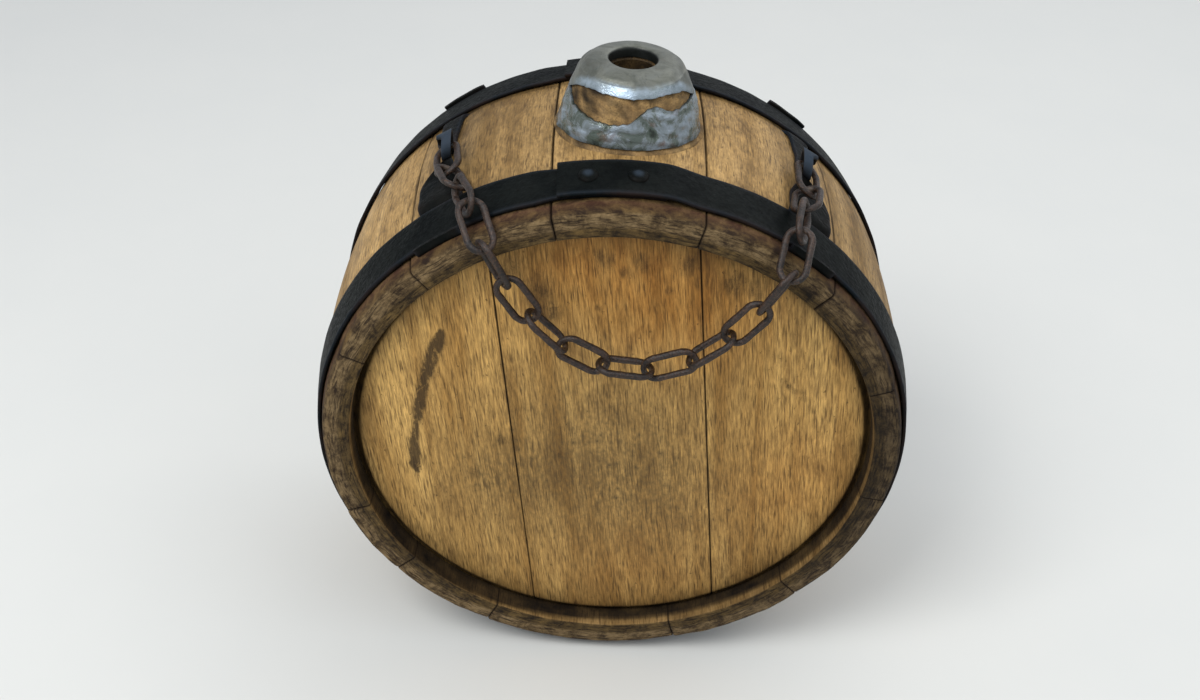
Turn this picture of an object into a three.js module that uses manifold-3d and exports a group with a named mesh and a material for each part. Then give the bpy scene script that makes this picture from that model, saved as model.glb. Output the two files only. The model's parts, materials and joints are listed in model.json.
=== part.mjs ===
// Oval wooden canteen with iron hoops, a metal spout and a carrying chain.
// Millimetres. +Z is up, -Y is the front head, and the origin is on the flat that the canteen stands on.
import * as THREE from "three";
import { mergeVertices } from "three/addons/utils/BufferGeometryUtils.js";
import Module from "manifold-3d";

// Barrel
const halfWidth = 150; // at the rims
const halfHeight = 145; // at the rims
const depth = 163.5;
const bulge = 7.6; // how much further out the staves are at mid depth
const staveThickness = 16;
const chimeThickness = 13.8; // stave thickness at the rim
const footCut = 1.1; // how much is worn off the lowest point
const fitGap = 0.3;
// Degrees from the top
const staveSeams = [-13.8, 14.3, 43, 70, 100, 132.8, 163, 205.3, 230, 249.3, 292, 317];
const staveNames = ["top", "r1", "r2", "r3", "r4", "r5", "bottom", "l5", "l4", "l3", "l2", "l1"];

// Heads
const headRecess = 12;
const headThickness = 13;
const headTongue = 7;
const crozeDepth = 4.2;
const headGroove = 3; // open width around the head's face
const boardSeamLeft = -52.4;
const boardSeamRight = 50.6;
const boardLean = -0.119; // sideways run of the board seams for each millimetre up

// Hoops and rivets
const hoopInset = 9.1;
const hoopWidth = 25.4;
const hoopThickness = 2.2;
const lapStart = -12.4; // degrees from the top
const lapEnd = 6.6;
const rivetDegrees = [-7, 1.6];
const rivetRadius = 5;
const rivetHeight = 2.8;
const rivetShank = 2.1; // radius

// Straps
const strapDegrees = 34.6; // to each side of the top
const strapThickness = 2.2;
const strapEndWidth = 26;
const strapMidWidth = 14;
const strapEyeWidth = 4;
const eyeBehindRim = 73.25; // how far the eye is behind the front rim
const eyeRadius = 6.3; // to the middle of the iron
const eyeRise = 7.3; // eye's centre above the strap
const eyeLean = 28; // degrees by which the eye leans towards the upright
const lipHeight = 2.2; // strap end above the hoop

// Spout: a boss of the top stave with a metal skirt and cap
const spoutBaseRadius = 36;
const spoutTopRadius = 26.5;
const spoutHeight = 33; // above the top stave
const spoutShoulder = 5;
const skirtHeight = 15;
const capStart = 25; // height of the cap's lower edge
const sheetThickness = 1.5;
const boreRadius = 11.8;

// Chain
const linkPitch = 22.5;
const linkWire = 3.6;
const linkWidth = 16;
const linkPlay = 1.05;
const runPlay = [0, 0.65, 0.1, 0.95, 0.85]; // further play at the joints from an eye to the rim
const bowLinks = 9;
const runLinks = 4; // from each eye to the rim
const bowForward = 9.5; // bow's middle in front of the rim
const rimLeft = -0.44; // where the chain crosses the rim, as a share of the half width
const rimRight = 0.52;
const rimDropLeft = 2.2; // how far the chain is below the rim where it leaves it
const rimDropRight = 0.8;
const runLiftLeft = [10.3, 12, 13]; // heights of the links' joints above the staves
const runLiftRight = [10.2, 12.6, 13];
const bowTwist = 31; // turn of the bow's end links away from square
const runTwistLeft = [-4, 50, -52, 28]; // degrees from lying flat on the barrel
const runTwistRight = [-4, 48, -44, 43];

const ovalSteps = 60;
const perMillimetre = 180 / Math.PI / halfWidth; // degrees round the barrel
const endY = depth / 2;
const eyeY = eyeBehindRim - endY;
const footZ = -(halfHeight + bulge - footCut);
const rad = THREE.MathUtils.degToRad;

const wasm = await Module();
wasm.setup();

// A closed solid from points and triangles.
function solidFrom(points, triangles) {
  return new wasm.Manifold(
    new wasm.Mesh({
      numProp: 3,
      vertProperties: new Float32Array(points.flat()),
      triVerts: new Uint32Array(triangles.flat()),
    }),
  );
}

// A closed solid from a surface geometry.
function solidOf(geometry) {
  const bare = new THREE.BufferGeometry();
  const open = geometry.index ? geometry.toNonIndexed() : geometry;
  bare.setAttribute("position", open.getAttribute("position"));
  const merged = mergeVertices(bare, 1e-4);
  return new wasm.Manifold(
    new wasm.Mesh({
      numProp: 3,
      vertProperties: merged.attributes.position.array,
      triVerts: new Uint32Array(merged.index.array),
    }),
  );
}

// A flat-faced surface geometry from a closed solid.
function geometryOf(solid) {
  const mesh = solid.getMesh();
  const geometry = new THREE.BufferGeometry();
  geometry.setAttribute("position", new THREE.BufferAttribute(mesh.vertProperties, 3));
  geometry.setIndex(new THREE.BufferAttribute(mesh.triVerts, 1));
  const flat = geometry.toNonIndexed();
  flat.computeVertexNormals();
  return flat;
}

// How far the staves stand out beyond the rim at this depth.
function bulgeAt(y) {
  const share = Math.min(Math.abs(y) / endY, 1);
  return bulge * (1 - share * share);
}

// The point at this angle from the top, this far outside the rim's oval.
function ovalPoint(degrees, offset, y) {
  const angle = rad(degrees);
  return [(halfWidth + offset) * Math.sin(angle), y, (halfHeight + offset) * Math.cos(angle) - footZ];
}

// How far the eye's leaning iron is moved towards the top at this offset.
function eyeShift(offset) {
  const strapTop = bulge + strapThickness + fitGap;
  return Math.max(0, offset - strapTop) * Math.tan(rad(eyeLean));
}

// Oval outlines joined from front to back and closed at both ends.
function ovalStack(loops) {
  const points = [];
  const triangles = [];
  for (const loop of loops) {
    for (let step = 0; step < ovalSteps; step++) {
      points.push(ovalPoint((step * 360) / ovalSteps, loop.offset, loop.y));
    }
  }
  const first = points.push([0, loops[0].y, -footZ]) - 1;
  const last = points.push([0, loops.at(-1).y, -footZ]) - 1;
  const lastRow = (loops.length - 1) * ovalSteps;
  for (let step = 0; step < ovalSteps; step++) {
    const next = (step + 1) % ovalSteps;
    triangles.push([first, next, step], [last, lastRow + step, lastRow + next]);
    for (let row = 0; row < lastRow; row += ovalSteps) {
      const above = row + ovalSteps;
      triangles.push([row + step, row + next, above + next], [row + step, above + next, above + step]);
    }
  }
  return solidFrom(points, triangles);
}

// Evenly spaced depths from one value to another.
function depths(from, to, count) {
  return Array.from({ length: count + 1 }, (_, i) => from + ((to - from) * i) / count);
}

// A stack that follows the staves' bulge at a fixed distance.
function bulgeStack(from, to, count, offset) {
  return ovalStack(depths(from, to, count).map((y) => ({ y, offset: bulgeAt(y) + offset })));
}

// An outline in X and Z, run right through the barrel.
function prism(outline) {
  const shape = new THREE.Shape(outline.map(([x, z]) => new THREE.Vector2(x, z)));
  const length = 2 * depth;
  const geometry = new THREE.ExtrudeGeometry(shape, { depth: length, bevelEnabled: false });
  geometry.rotateX(Math.PI / 2);
  geometry.translate(0, depth, -footZ);
  return solidOf(geometry);
}

// The part of space between two angles, drawn in by half the gap on both sides.
function wedge(from, to, gap) {
  const far = 3 * halfWidth;
  const middle = (from + to) / 2;
  const spread = rad(to - from) / 2;
  const start = gap / 2 / Math.sin(spread);
  const across = (degrees, length) => [length * Math.sin(rad(degrees)), length * Math.cos(rad(degrees))];
  const [x0, z0] = across(middle, start);
  const corners = [from, middle, to].map((degrees) => {
    const [x, z] = across(degrees, far);
    return [x + x0, z + z0];
  });
  return prism([[x0, z0], ...corners.reverse()]);
}

// A turned solid about a vertical line, from radius and height pairs.
function turned(profile, segments) {
  const geometry = new THREE.LatheGeometry(
    profile.map(([radius, height]) => new THREE.Vector2(radius, height)),
    segments,
  );
  geometry.rotateX(Math.PI / 2);
  return solidOf(geometry);
}

// A disc or cylinder about a vertical line, between two heights.
function disc(radius, low, high, segments) {
  return turned([[0, low], [radius, low], [radius, high], [0, high]], segments);
}

// A band bent round the barrel: a closed outline of depth, offset and width, swept across its width.
function bentBand(degrees, outline) {
  const side = Math.sign(degrees);
  const columns = [-0.5, 0, 0.5];
  const points = [];
  const triangles = [];
  const flatten = (corners) => corners.map((corner) => new THREE.Vector2(corner.y, corner.offset));
  const corners = THREE.ShapeUtils.isClockWise(flatten(outline)) ? outline.toReversed() : outline;
  for (const column of columns) {
    for (const corner of corners) {
      const across = column * corner.width - side * eyeShift(corner.offset);
      points.push(ovalPoint(degrees + across * perMillimetre, corner.offset, corner.y));
    }
  }
  const count = corners.length;
  const far = (columns.length - 1) * count;
  for (const [a, b, c] of THREE.ShapeUtils.triangulateShape(flatten(corners), [])) {
    triangles.push([a, c, b], [far + a, far + b, far + c]);
  }
  for (let row = 0; row < far; row += count) {
    for (let i = 0; i < count; i++) {
      const next = (i + 1) % count;
      const above = row + count;
      triangles.push([row + i, row + next, above + next], [row + i, above + next, above + i]);
    }
  }
  return solidFrom(points, triangles);
}

// The outline of sheet iron of even thickness along a path of depth, offset and width.
function ironOutline(path) {
  const sides = [[], []];
  path.forEach((point, i) => {
    const before = path[Math.max(i - 1, 0)];
    const after = path[Math.min(i + 1, path.length - 1)];
    const along = new THREE.Vector2(after.y - before.y, after.offset - before.offset).normalize();
    sides.forEach((side, s) => {
      const reach = ((s ? -1 : 1) * strapThickness) / 2;
      side.push({ y: point.y - along.y * reach, offset: point.offset + along.x * reach, width: point.width });
    });
  });
  return [...sides[0], ...sides[1].reverse()];
}

// Staves
const outerBarrel = bulgeStack(-endY, endY, 6, 0);
const crozeFront = -endY + headRecess + (headThickness - headTongue) / 2;
const innerEnd = -endY + headRecess - 1;
const innerLoops = [
  { y: -endY - 1, offset: -chimeThickness + 0.3 },
  ...depths(innerEnd, -innerEnd, 4).map((y) => ({ y, offset: bulgeAt(y) - staveThickness })),
  { y: endY + 1, offset: -chimeThickness + 0.3 },
];
const crozeOffset = bulgeAt(crozeFront) - staveThickness + crozeDepth;
const crozeCut = (sign) => {
  const near = sign * (crozeFront - fitGap);
  const far = sign * (crozeFront + headTongue + fitGap);
  const loops = [Math.min(near, far), Math.max(near, far)].map((y) => ({ y, offset: crozeOffset }));
  return ovalStack(loops);
};
let barrel = outerBarrel.subtract(ovalStack(innerLoops)).subtract(crozeCut(1)).subtract(crozeCut(-1));

// Standing flat
const floorBox = new THREE.BoxGeometry(2 * halfWidth, 2 * depth, 40);
floorBox.translate(0, 0, -20);
const floor = solidOf(floorBox);
barrel = barrel.subtract(floor);

// Strap ends are let into the staves under the hoops.
const hoopFront = -endY + hoopInset;
const hoopRear = hoopFront + hoopWidth;
const sunk = -strapThickness / 2 - 0.5;
const lipY = hoopFront - fitGap - strapThickness / 2;
const housing = (degrees, sign) => {
  const width = strapEndWidth + 2;
  const ends = [lipY - strapThickness / 2 - fitGap, hoopRear + 7];
  const rows = depths(ends[0], ends[1], 4).map((y) => y * sign);
  const low = rows.map((y) => ({ y, offset: bulgeAt(y) + sunk - strapThickness / 2 - fitGap, width }));
  const high = rows.map((y) => ({ y, offset: bulgeAt(y) + 4, width })).reverse();
  return bentBand(degrees, [...low, ...high]);
};
for (const degrees of [-strapDegrees, strapDegrees]) {
  barrel = barrel.subtract(housing(degrees, 1)).subtract(housing(degrees, -1));
}

// Strap: lip, part under the hoop, visible part, eye, and the same again behind.
const strapOutline = () => {
  const proud = strapThickness / 2 + fitGap;
  const side = (sign) => {
    const at = (y, offset, width) => ({ y: y * sign, offset, width });
    const lip = at(lipY, bulgeAt(lipY) + hoopThickness + fitGap + lipHeight, strapEndWidth);
    const under = depths(lipY, hoopRear + 1, 4).map((y, i) => {
      return at(y, bulgeAt(y) + sunk, strapEndWidth - (i * (strapEndWidth - strapMidWidth)) / 6);
    });
    const reach = sign * eyeY - eyeRadius - 3.5;
    const shown = depths(hoopRear + 6, reach, 3).map((y, i) => {
      return at(y, bulgeAt(y) + proud, i < 2 ? strapMidWidth : strapEyeWidth + (3 - i) * 4);
    });
    return [lip, ...under, ...shown];
  };
  const eyeOffset = bulgeAt(eyeY) + proud + eyeRise;
  const arc = depths(215, -35, 12).map((degrees) => ({
    y: eyeY + eyeRadius * Math.cos(rad(degrees)),
    offset: eyeOffset + eyeRadius * Math.sin(rad(degrees)),
    width: strapEyeWidth,
  }));
  return ironOutline([...side(1), ...arc, ...side(-1).reverse()]);
};

// Hoops: a ring with its lap standing one thickness higher.
const hoopSolid = (sign) => {
  const ends = [sign * hoopFront, sign * hoopRear].sort((a, b) => a - b);
  const inner = bulgeStack(ends[0] - 1, ends[1] + 1, 2, fitGap + 0.2);
  const ring = bulgeStack(ends[0], ends[1], 2, fitGap + hoopThickness);
  const double = bulgeStack(ends[0], ends[1], 2, fitGap + 2 * hoopThickness);
  const lap = double.intersect(wedge(lapStart, lapEnd, 0));
  return ring.add(lap).subtract(inner).subtract(floor);
};

// Rivets stand square on the lap.
const hoopMiddle = (hoopFront + hoopRear) / 2;
const rivetPlace = (degrees, sign, lift) => {
  const y = sign * hoopMiddle;
  const foot = new THREE.Vector3(...ovalPoint(degrees, bulgeAt(y) + fitGap + lift, y));
  const ahead = new THREE.Vector3(...ovalPoint(degrees, bulgeAt(y + 1) + fitGap + lift, y + 1));
  const beside = new THREE.Vector3(...ovalPoint(degrees + 1, bulgeAt(y) + fitGap + lift, y));
  const up = beside.sub(foot).cross(ahead.sub(foot)).normalize();
  return { foot, turn: new THREE.Quaternion().setFromUnitVectors(new THREE.Vector3(0, 0, 1), up) };
};
const rivetProfile = (() => {
  const dome = depths(0, 90, 4).map((degrees) => [
    rivetRadius * Math.cos(rad(degrees)),
    fitGap + rivetHeight * Math.sin(rad(degrees)),
  ]);
  const foot = fitGap - 2 * hoopThickness;
  return [
    [0, foot],
    [rivetShank, foot],
    [rivetShank, fitGap],
    ...dome.slice(0, -1),
    [0, fitGap + rivetHeight],
  ];
})();
const rivetHole = disc(rivetShank + fitGap, -3 * hoopThickness, 3 * hoopThickness, 16);

// The same solid, turned and moved.
function placed(solid, place) {
  const matrix = new THREE.Matrix4().compose(place.foot, place.turn, new THREE.Vector3(1, 1, 1));
  return solid.transform(matrix.elements);
}

// The spout's outside from below the top stave up to its mouth, drawn in by a distance.
const crown = halfHeight + bulge - footZ;
const spoutSegments = 32;
const spoutTaper = (spoutBaseRadius - spoutTopRadius) / (spoutHeight - spoutShoulder);
const spoutRadius = (height) => spoutBaseRadius - spoutTaper * height;
const spoutSolid = (drawnIn, low) => {
  const top = spoutHeight - drawnIn;
  const profile = [
    [0, low],
    [spoutRadius(low) - drawnIn, low],
    [spoutTopRadius - drawnIn, spoutHeight - spoutShoulder],
    [spoutTopRadius - spoutShoulder * 0.35 - drawnIn, spoutHeight - spoutShoulder * 0.4 - drawnIn * 0.5],
    [spoutTopRadius - spoutShoulder - drawnIn, top - 0.4],
    [spoutTopRadius - spoutShoulder * 1.6 - drawnIn, top],
    [0, top],
  ];
  return turned(
    profile.map(([radius, height]) => [radius, height + crown]),
    spoutSegments,
  );
};
const bore = disc(boreRadius, -footZ, crown + 2 * spoutHeight, spoutSegments);
const woodBoss = spoutSolid(sheetThickness + fitGap, -10);
const metalHollow = spoutSolid(sheetThickness, -10);
const metalShell = spoutSolid(0, -10).subtract(metalHollow).subtract(bore);
const below = crown - 2 * spoutHeight;
const spoutCap = metalShell.subtract(disc(2 * spoutBaseRadius, below, crown + capStart, spoutSegments));
const overBarrel = bulgeStack(-endY, endY, 6, fitGap);
const skirtRoom = disc(2 * spoutBaseRadius, below, crown + skirtHeight, spoutSegments);
const spoutSkirt = metalShell.intersect(skirtRoom).subtract(overBarrel);
const inside = ovalStack(innerLoops);

// One chain link lying along X with its width along Y.
const linkReach = (linkPitch + linkWire + linkPlay) / 2;
function linkSolid() {
  const bend = (linkWidth - linkWire) / 2;
  const straight = linkReach - bend;
  const path = [];
  for (const [centre, from] of [[straight, -90], [-straight, 90]]) {
    for (const degrees of depths(from, from + 180, 5)) {
      const out = [Math.cos(rad(degrees)), Math.sin(rad(degrees))];
      path.push({ x: centre + bend * out[0], y: bend * out[1], out });
    }
  }
  const sides = 6;
  const points = [];
  const triangles = [];
  path.forEach((place, i) => {
    const next = ((i + 1) % path.length) * sides;
    for (let side = 0; side < sides; side++) {
      const angle = ((side + 0.5) * 2 * Math.PI) / sides;
      const reach = (linkWire / 2) * Math.cos(angle);
      const rise = (linkWire / 2) * Math.sin(angle);
      points.push([place.x + reach * place.out[0], place.y + reach * place.out[1], rise]);
      const a = i * sides + side;
      const b = i * sides + ((side + 1) % sides);
      const c = next + ((side + 1) % sides);
      const d = next + side;
      triangles.push([a, d, c], [a, c, b]);
    }
  });
  return solidFrom(points, triangles);
}

// Height of the staves' outer face above the standing flat.
function surfaceZ(x, y) {
  const offset = bulgeAt(y);
  const share = x / (halfWidth + offset);
  return (halfHeight + offset) * Math.sqrt(1 - share * share) - footZ;
}

// Outward direction of the staves' outer face.
function surfaceNormal(point) {
  const across = point.x / (halfWidth * halfWidth);
  const up = (point.z + footZ) / (halfHeight * halfHeight);
  return new THREE.Vector3(across, 0, up).normalize();
}

// Joints of one run from an eye to the rim: each is one pitch from the last, towards its planned place.
function runJoints(side, rimShare, rimDrop, lift) {
  const eyeOffset = bulgeAt(eyeY) + strapThickness / 2 + fitGap + eyeRise;
  const eyeDegrees = strapDegrees - eyeShift(eyeOffset) * perMillimetre;
  const eye = new THREE.Vector3(...ovalPoint(side * eyeDegrees, eyeOffset, eyeY));
  const rimX = rimShare * halfWidth;
  const rim = new THREE.Vector3(rimX, -endY - bowForward, surfaceZ(rimX, -endY) - rimDrop);
  const joints = [];
  for (let i = 1; i <= runLinks; i++) {
    const plan = eye.clone().lerp(rim, i / runLinks);
    plan.x = eye.x + (rim.x - eye.x) * (i / runLinks) ** 1.6;
    if (i < runLinks) {
      plan.z = surfaceZ(plan.x, plan.y) + lift[i - 1];
    }
    const from = joints.at(-1) ?? eye;
    const eyeReach = i === 1 ? (linkWire + linkPlay) / 2 : 0;
    const reach = linkPitch - (runPlay[i - 1] + runPlay[i]) / 2 + eyeReach;
    joints.push(plan.sub(from).setLength(reach).add(from));
  }
  const start = joints[0].clone().sub(eye).setLength((linkWire + linkPlay) / 2).add(eye);
  return [start, ...joints];
}

// Steps of a hanging chain whose slope grows evenly from link to link.
function hangingSteps(sharpness, shift) {
  return Array.from({ length: bowLinks }, (_, i) => {
    const angle = Math.atan(sharpness * (i - (bowLinks - 1) / 2 - shift));
    const reach = linkPitch - (i === 0 || i === bowLinks - 1 ? runPlay.at(-1) / 2 : 0);
    return [reach * Math.cos(angle), reach * Math.sin(angle)];
  });
}

// Joints of the bow between two rim joints, found by closing in on its span and its rise.
function bowJoints(from, to) {
  const across = new THREE.Vector3(to.x - from.x, to.y - from.y, 0);
  const span = across.length();
  const total = (steps, axis) => steps.reduce((sum, step) => sum + step[axis], 0);
  let shift = 0;
  let sharpness = 0.5;
  for (let round = 0; round < 60; round++) {
    let low = 0;
    let high = 20;
    for (let i = 0; i < 50; i++) {
      sharpness = (low + high) / 2;
      if (total(hangingSteps(sharpness, shift), 0) > span) {
        low = sharpness;
      } else {
        high = sharpness;
      }
    }
    const miss = to.z - from.z - total(hangingSteps(sharpness, shift), 1);
    shift -= (0.5 * miss) / (sharpness * linkPitch * bowLinks);
  }
  const place = from.clone();
  across.normalize();
  return hangingSteps(sharpness, shift).map(([run, rise]) => {
    place.addScaledVector(across, run);
    place.z += rise;
    return place.clone();
  });
}

const leftRun = runJoints(-1, rimLeft, rimDropLeft, runLiftLeft);
const rightRun = runJoints(1, rimRight, rimDropRight, runLiftRight);
const bow = bowJoints(leftRun.at(-1), rightRun.at(-1));
const chainJoints = [...leftRun, ...bow.slice(0, -1), ...rightRun.reverse()];

const oak = { color: 0xa98250, roughness: 0.75, metalness: 0 };
const headOak = { color: 0xb88a4e, roughness: 0.7, metalness: 0 };
const iron = { color: 0x25292c, roughness: 0.5, metalness: 0.4 };
const chainIron = { color: 0x5a4a40, roughness: 0.65, metalness: 0.5 };
const pewter = { color: 0x85847a, roughness: 0.45, metalness: 0.7 };

const canteen = new THREE.Group();
canteen.name = "canteen";

// Adds one named piece to a group.
function addPiece(group, name, geometry, look) {
  const mesh = new THREE.Mesh(geometry, new THREE.MeshStandardMaterial(look));
  mesh.name = name;
  group.add(mesh);
  return mesh;
}

const staveGroup = new THREE.Group();
staveGroup.name = "staves";
canteen.add(staveGroup);
staveSeams.forEach((from, i) => {
  const to = i + 1 < staveSeams.length ? staveSeams[i + 1] : staveSeams[0] + 360;
  const own = wedge(from, to, fitGap);
  let stave = barrel.intersect(own);
  if (staveNames[i] === "top") {
    stave = stave.add(woodBoss.subtract(inside).intersect(own)).subtract(bore);
  }
  addPiece(staveGroup, "stave_" + staveNames[i], geometryOf(stave), oak);
});

const headGroup = new THREE.Group();
headGroup.name = "heads";
canteen.add(headGroup);
const seamLine = (middle) => [2 * halfHeight, -2 * halfHeight].map((z) => [middle + boardLean * z, z]);
const boards = [
  ["left", -2 * halfWidth, boardSeamLeft - fitGap / 2],
  ["middle", boardSeamLeft + fitGap / 2, boardSeamRight - fitGap / 2],
  ["right", boardSeamRight + fitGap / 2, 2 * halfWidth],
];
for (const [end, sign] of [["front", 1], ["back", -1]]) {
  const face = -endY + headRecess;
  const edge = crozeOffset - crozeDepth - headGroove;
  const tongue = crozeOffset - fitGap;
  const loops = [
    { y: face, offset: edge },
    { y: crozeFront, offset: edge },
    { y: crozeFront + 0.01, offset: tongue },
    { y: crozeFront + headTongue - 0.01, offset: tongue },
    { y: crozeFront + headTongue, offset: edge },
    { y: face + headThickness, offset: edge },
  ].map((loop) => ({ y: sign * loop.y, offset: loop.offset }));
  const head = ovalStack(sign > 0 ? loops : loops.reverse());
  for (const [name, from, to] of boards) {
    const [upperRight, lowerRight] = seamLine(to);
    const [upperLeft, lowerLeft] = seamLine(from);
    const board = head.intersect(prism([lowerLeft, lowerRight, upperRight, upperLeft]));
    addPiece(headGroup, "head_" + end + "_" + name, geometryOf(board), headOak);
  }
}

const ironGroup = new THREE.Group();
ironGroup.name = "ironwork";
canteen.add(ironGroup);
for (const [end, sign] of [["front", 1], ["back", -1]]) {
  let hoop = hoopSolid(sign);
  rivetDegrees.forEach((degrees, i) => {
    const place = rivetPlace(degrees, sign, 2 * hoopThickness);
    hoop = hoop.subtract(placed(rivetHole, place));
    const name = "rivet_" + end + "_" + (i + 1);
    const rivet = addPiece(ironGroup, name, geometryOf(turned(rivetProfile, 16)), iron);
    rivet.position.copy(place.foot);
    rivet.quaternion.copy(place.turn);
  });
  addPiece(ironGroup, "hoop_" + end, geometryOf(hoop), iron);
}
addPiece(ironGroup, "strap_left", geometryOf(bentBand(-strapDegrees, strapOutline())), iron);
addPiece(ironGroup, "strap_right", geometryOf(bentBand(strapDegrees, strapOutline())), iron);

const spoutGroup = new THREE.Group();
spoutGroup.name = "spout";
canteen.add(spoutGroup);
addPiece(spoutGroup, "spout_skirt", geometryOf(spoutSkirt), pewter);
addPiece(spoutGroup, "spout_cap", geometryOf(spoutCap), pewter);

const chainGroup = new THREE.Group();
chainGroup.name = "chain";
canteen.add(chainGroup);
const linkCount = chainJoints.length - 1;
for (let i = 0; i < linkCount; i++) {
  const [from, to] = [chainJoints[i], chainJoints[i + 1]];
  const along = to.clone().sub(from).normalize();
  const fromEnd = Math.min(i, linkCount - 1 - i);
  const onBarrel = fromEnd < runLinks;
  const startPlay = runPlay[Math.min(i, linkCount - i)] ?? 0;
  const middle = along.clone().multiplyScalar((linkPitch - startPlay) / 2).add(from);
  const facing = onBarrel ? surfaceNormal(middle) : new THREE.Vector3(0, -1, 0);
  const flat = along.clone().cross(facing).normalize();
  const edge = flat.clone().cross(along);
  const lean = fromEnd === runLinks ? bowTwist : 0;
  const turn = (i - runLinks) % 2 === 0 ? 90 + lean : 0;
  const runTwist = i < runLinks ? runTwistLeft : runTwistRight;
  const twist = rad(onBarrel ? runTwist[fromEnd] : turn);
  const width = flat.multiplyScalar(Math.cos(twist)).addScaledVector(edge, Math.sin(twist));
  const thick = along.clone().cross(width);
  const name = "link_" + String(i + 1).padStart(2, "0");
  const link = addPiece(chainGroup, name, geometryOf(linkSolid()), chainIron);
  link.position.copy(middle);
  link.quaternion.setFromRotationMatrix(new THREE.Matrix4().makeBasis(along, width, thick));
}

export default canteen;
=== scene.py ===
# Oval wooden canteen: staves, boarded heads, iron hoops and straps, a metal-covered mouth and a chain.
import json

import bpy
import numpy as np
from mathutils import Matrix, Vector

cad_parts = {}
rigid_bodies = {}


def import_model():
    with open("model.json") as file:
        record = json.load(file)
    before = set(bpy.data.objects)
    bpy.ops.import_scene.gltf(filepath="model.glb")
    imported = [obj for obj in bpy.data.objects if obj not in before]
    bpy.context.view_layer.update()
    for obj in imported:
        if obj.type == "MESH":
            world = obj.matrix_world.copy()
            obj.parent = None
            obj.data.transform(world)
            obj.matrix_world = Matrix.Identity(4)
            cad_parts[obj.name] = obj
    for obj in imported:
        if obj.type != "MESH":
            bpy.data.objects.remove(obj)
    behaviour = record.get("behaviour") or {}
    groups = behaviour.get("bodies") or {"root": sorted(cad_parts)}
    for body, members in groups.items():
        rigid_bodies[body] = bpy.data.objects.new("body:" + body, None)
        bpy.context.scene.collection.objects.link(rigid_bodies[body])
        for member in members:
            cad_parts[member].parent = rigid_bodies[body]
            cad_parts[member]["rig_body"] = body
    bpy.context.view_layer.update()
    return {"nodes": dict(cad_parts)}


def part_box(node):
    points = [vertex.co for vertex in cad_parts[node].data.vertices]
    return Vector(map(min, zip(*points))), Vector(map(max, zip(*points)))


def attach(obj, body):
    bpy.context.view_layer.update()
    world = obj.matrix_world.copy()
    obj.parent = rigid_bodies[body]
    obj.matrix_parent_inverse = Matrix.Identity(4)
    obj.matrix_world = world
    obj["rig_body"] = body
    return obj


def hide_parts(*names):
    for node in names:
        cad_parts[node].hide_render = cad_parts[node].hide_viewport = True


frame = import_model()
scene = bpy.context.scene
mm = 0.001  # shapes are worked out in millimetres
sharpAngle = 42  # degrees: a sharper bend between faces shows as an edge

barrel = {
    "halfWidth": 150,  # of the rim's oval
    "halfHeight": 145,
    "endY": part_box("stave_bottom")[1].y / mm,  # from mid depth to a rim
    "bulge": 7.6,  # how much further out the staves are at mid depth
    "axisZ": 151.5,
    "gap": 0.3,
    "strapDegrees": 34.6,  # from the top to a strap's middle
}


# Bulge: a parabola along the depth, full at the middle and nothing at the rims.
def bulgeAt(y):
    return barrel["bulge"] * (1 - np.minimum(np.abs(y) / barrel["endY"], 1) ** 2)


# A point of the oval: sine and cosine of the angle from the top times the half sizes, grown by the offset.
def ovalPoint(degrees, offset, y):
    angle = np.radians(degrees)
    x = (barrel["halfWidth"] + offset) * np.sin(angle)
    z = (barrel["halfHeight"] + offset) * np.cos(angle) + barrel["axisZ"]
    return np.stack(np.broadcast_arrays(x, y, z), -1)


# Millimetres along the oval as degrees: the angle whose arc at the half width is that long.
def arcDegrees(length):
    return np.degrees(length / barrel["halfWidth"])


waveShape = {"count": 7, "turns": (0.6, 1.7)}  # sines in a sum, and the range of their turns in a length


# Uneven waves: twice the mean of a few sines of the place along seeded directions, from about -1 to 1.
def waves(points, length, seed):
    draw = np.random.default_rng(seed)
    count = waveShape["count"]
    directions = draw.normal(size=(count, 3))
    directions /= np.linalg.norm(directions, axis=1, keepdims=True)
    turns = draw.uniform(*waveShape["turns"], count) * 2 * np.pi / length
    phases = draw.uniform(0, 2 * np.pi, count)
    return 2 * np.sin(points @ directions.T * turns + phases).mean(-1)


# Uneven waves round a ring: sines of the angle with whole numbers of turns, so that the ring closes.
def ringWaves(angle, turns, seed):
    draw = np.random.default_rng(seed)
    phases = draw.uniform(0, 2 * np.pi, len(turns))
    return sum(np.sin(angle * turn + phase) for turn, phase in zip(turns, phases)) / len(turns)


# Smooth step: 0 below the first value, 1 above the second, and a cubic between.
def smoothStep(low, high, value):
    share = np.clip((value - low) / (high - low), 0, 1)
    return share * share * (3 - 2 * share)


# Bell: a Gaussian of the distance from the middle, counted in spreads.
def bell(value, middle, spread):
    return np.exp(-(((value - middle) / spread) ** 2))


# Rounding: how far a surface falls at a distance from its edge, for a quarter circle of that radius.
def rounding(distance, radius):
    inside = np.clip(radius - distance, 0, radius)
    return radius - np.sqrt(radius**2 - inside**2)


arrisSteps = np.array([0, 0.08, 0.28, 0.6, 1])  # shares of a rounding's radius, closer towards the edge


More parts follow.
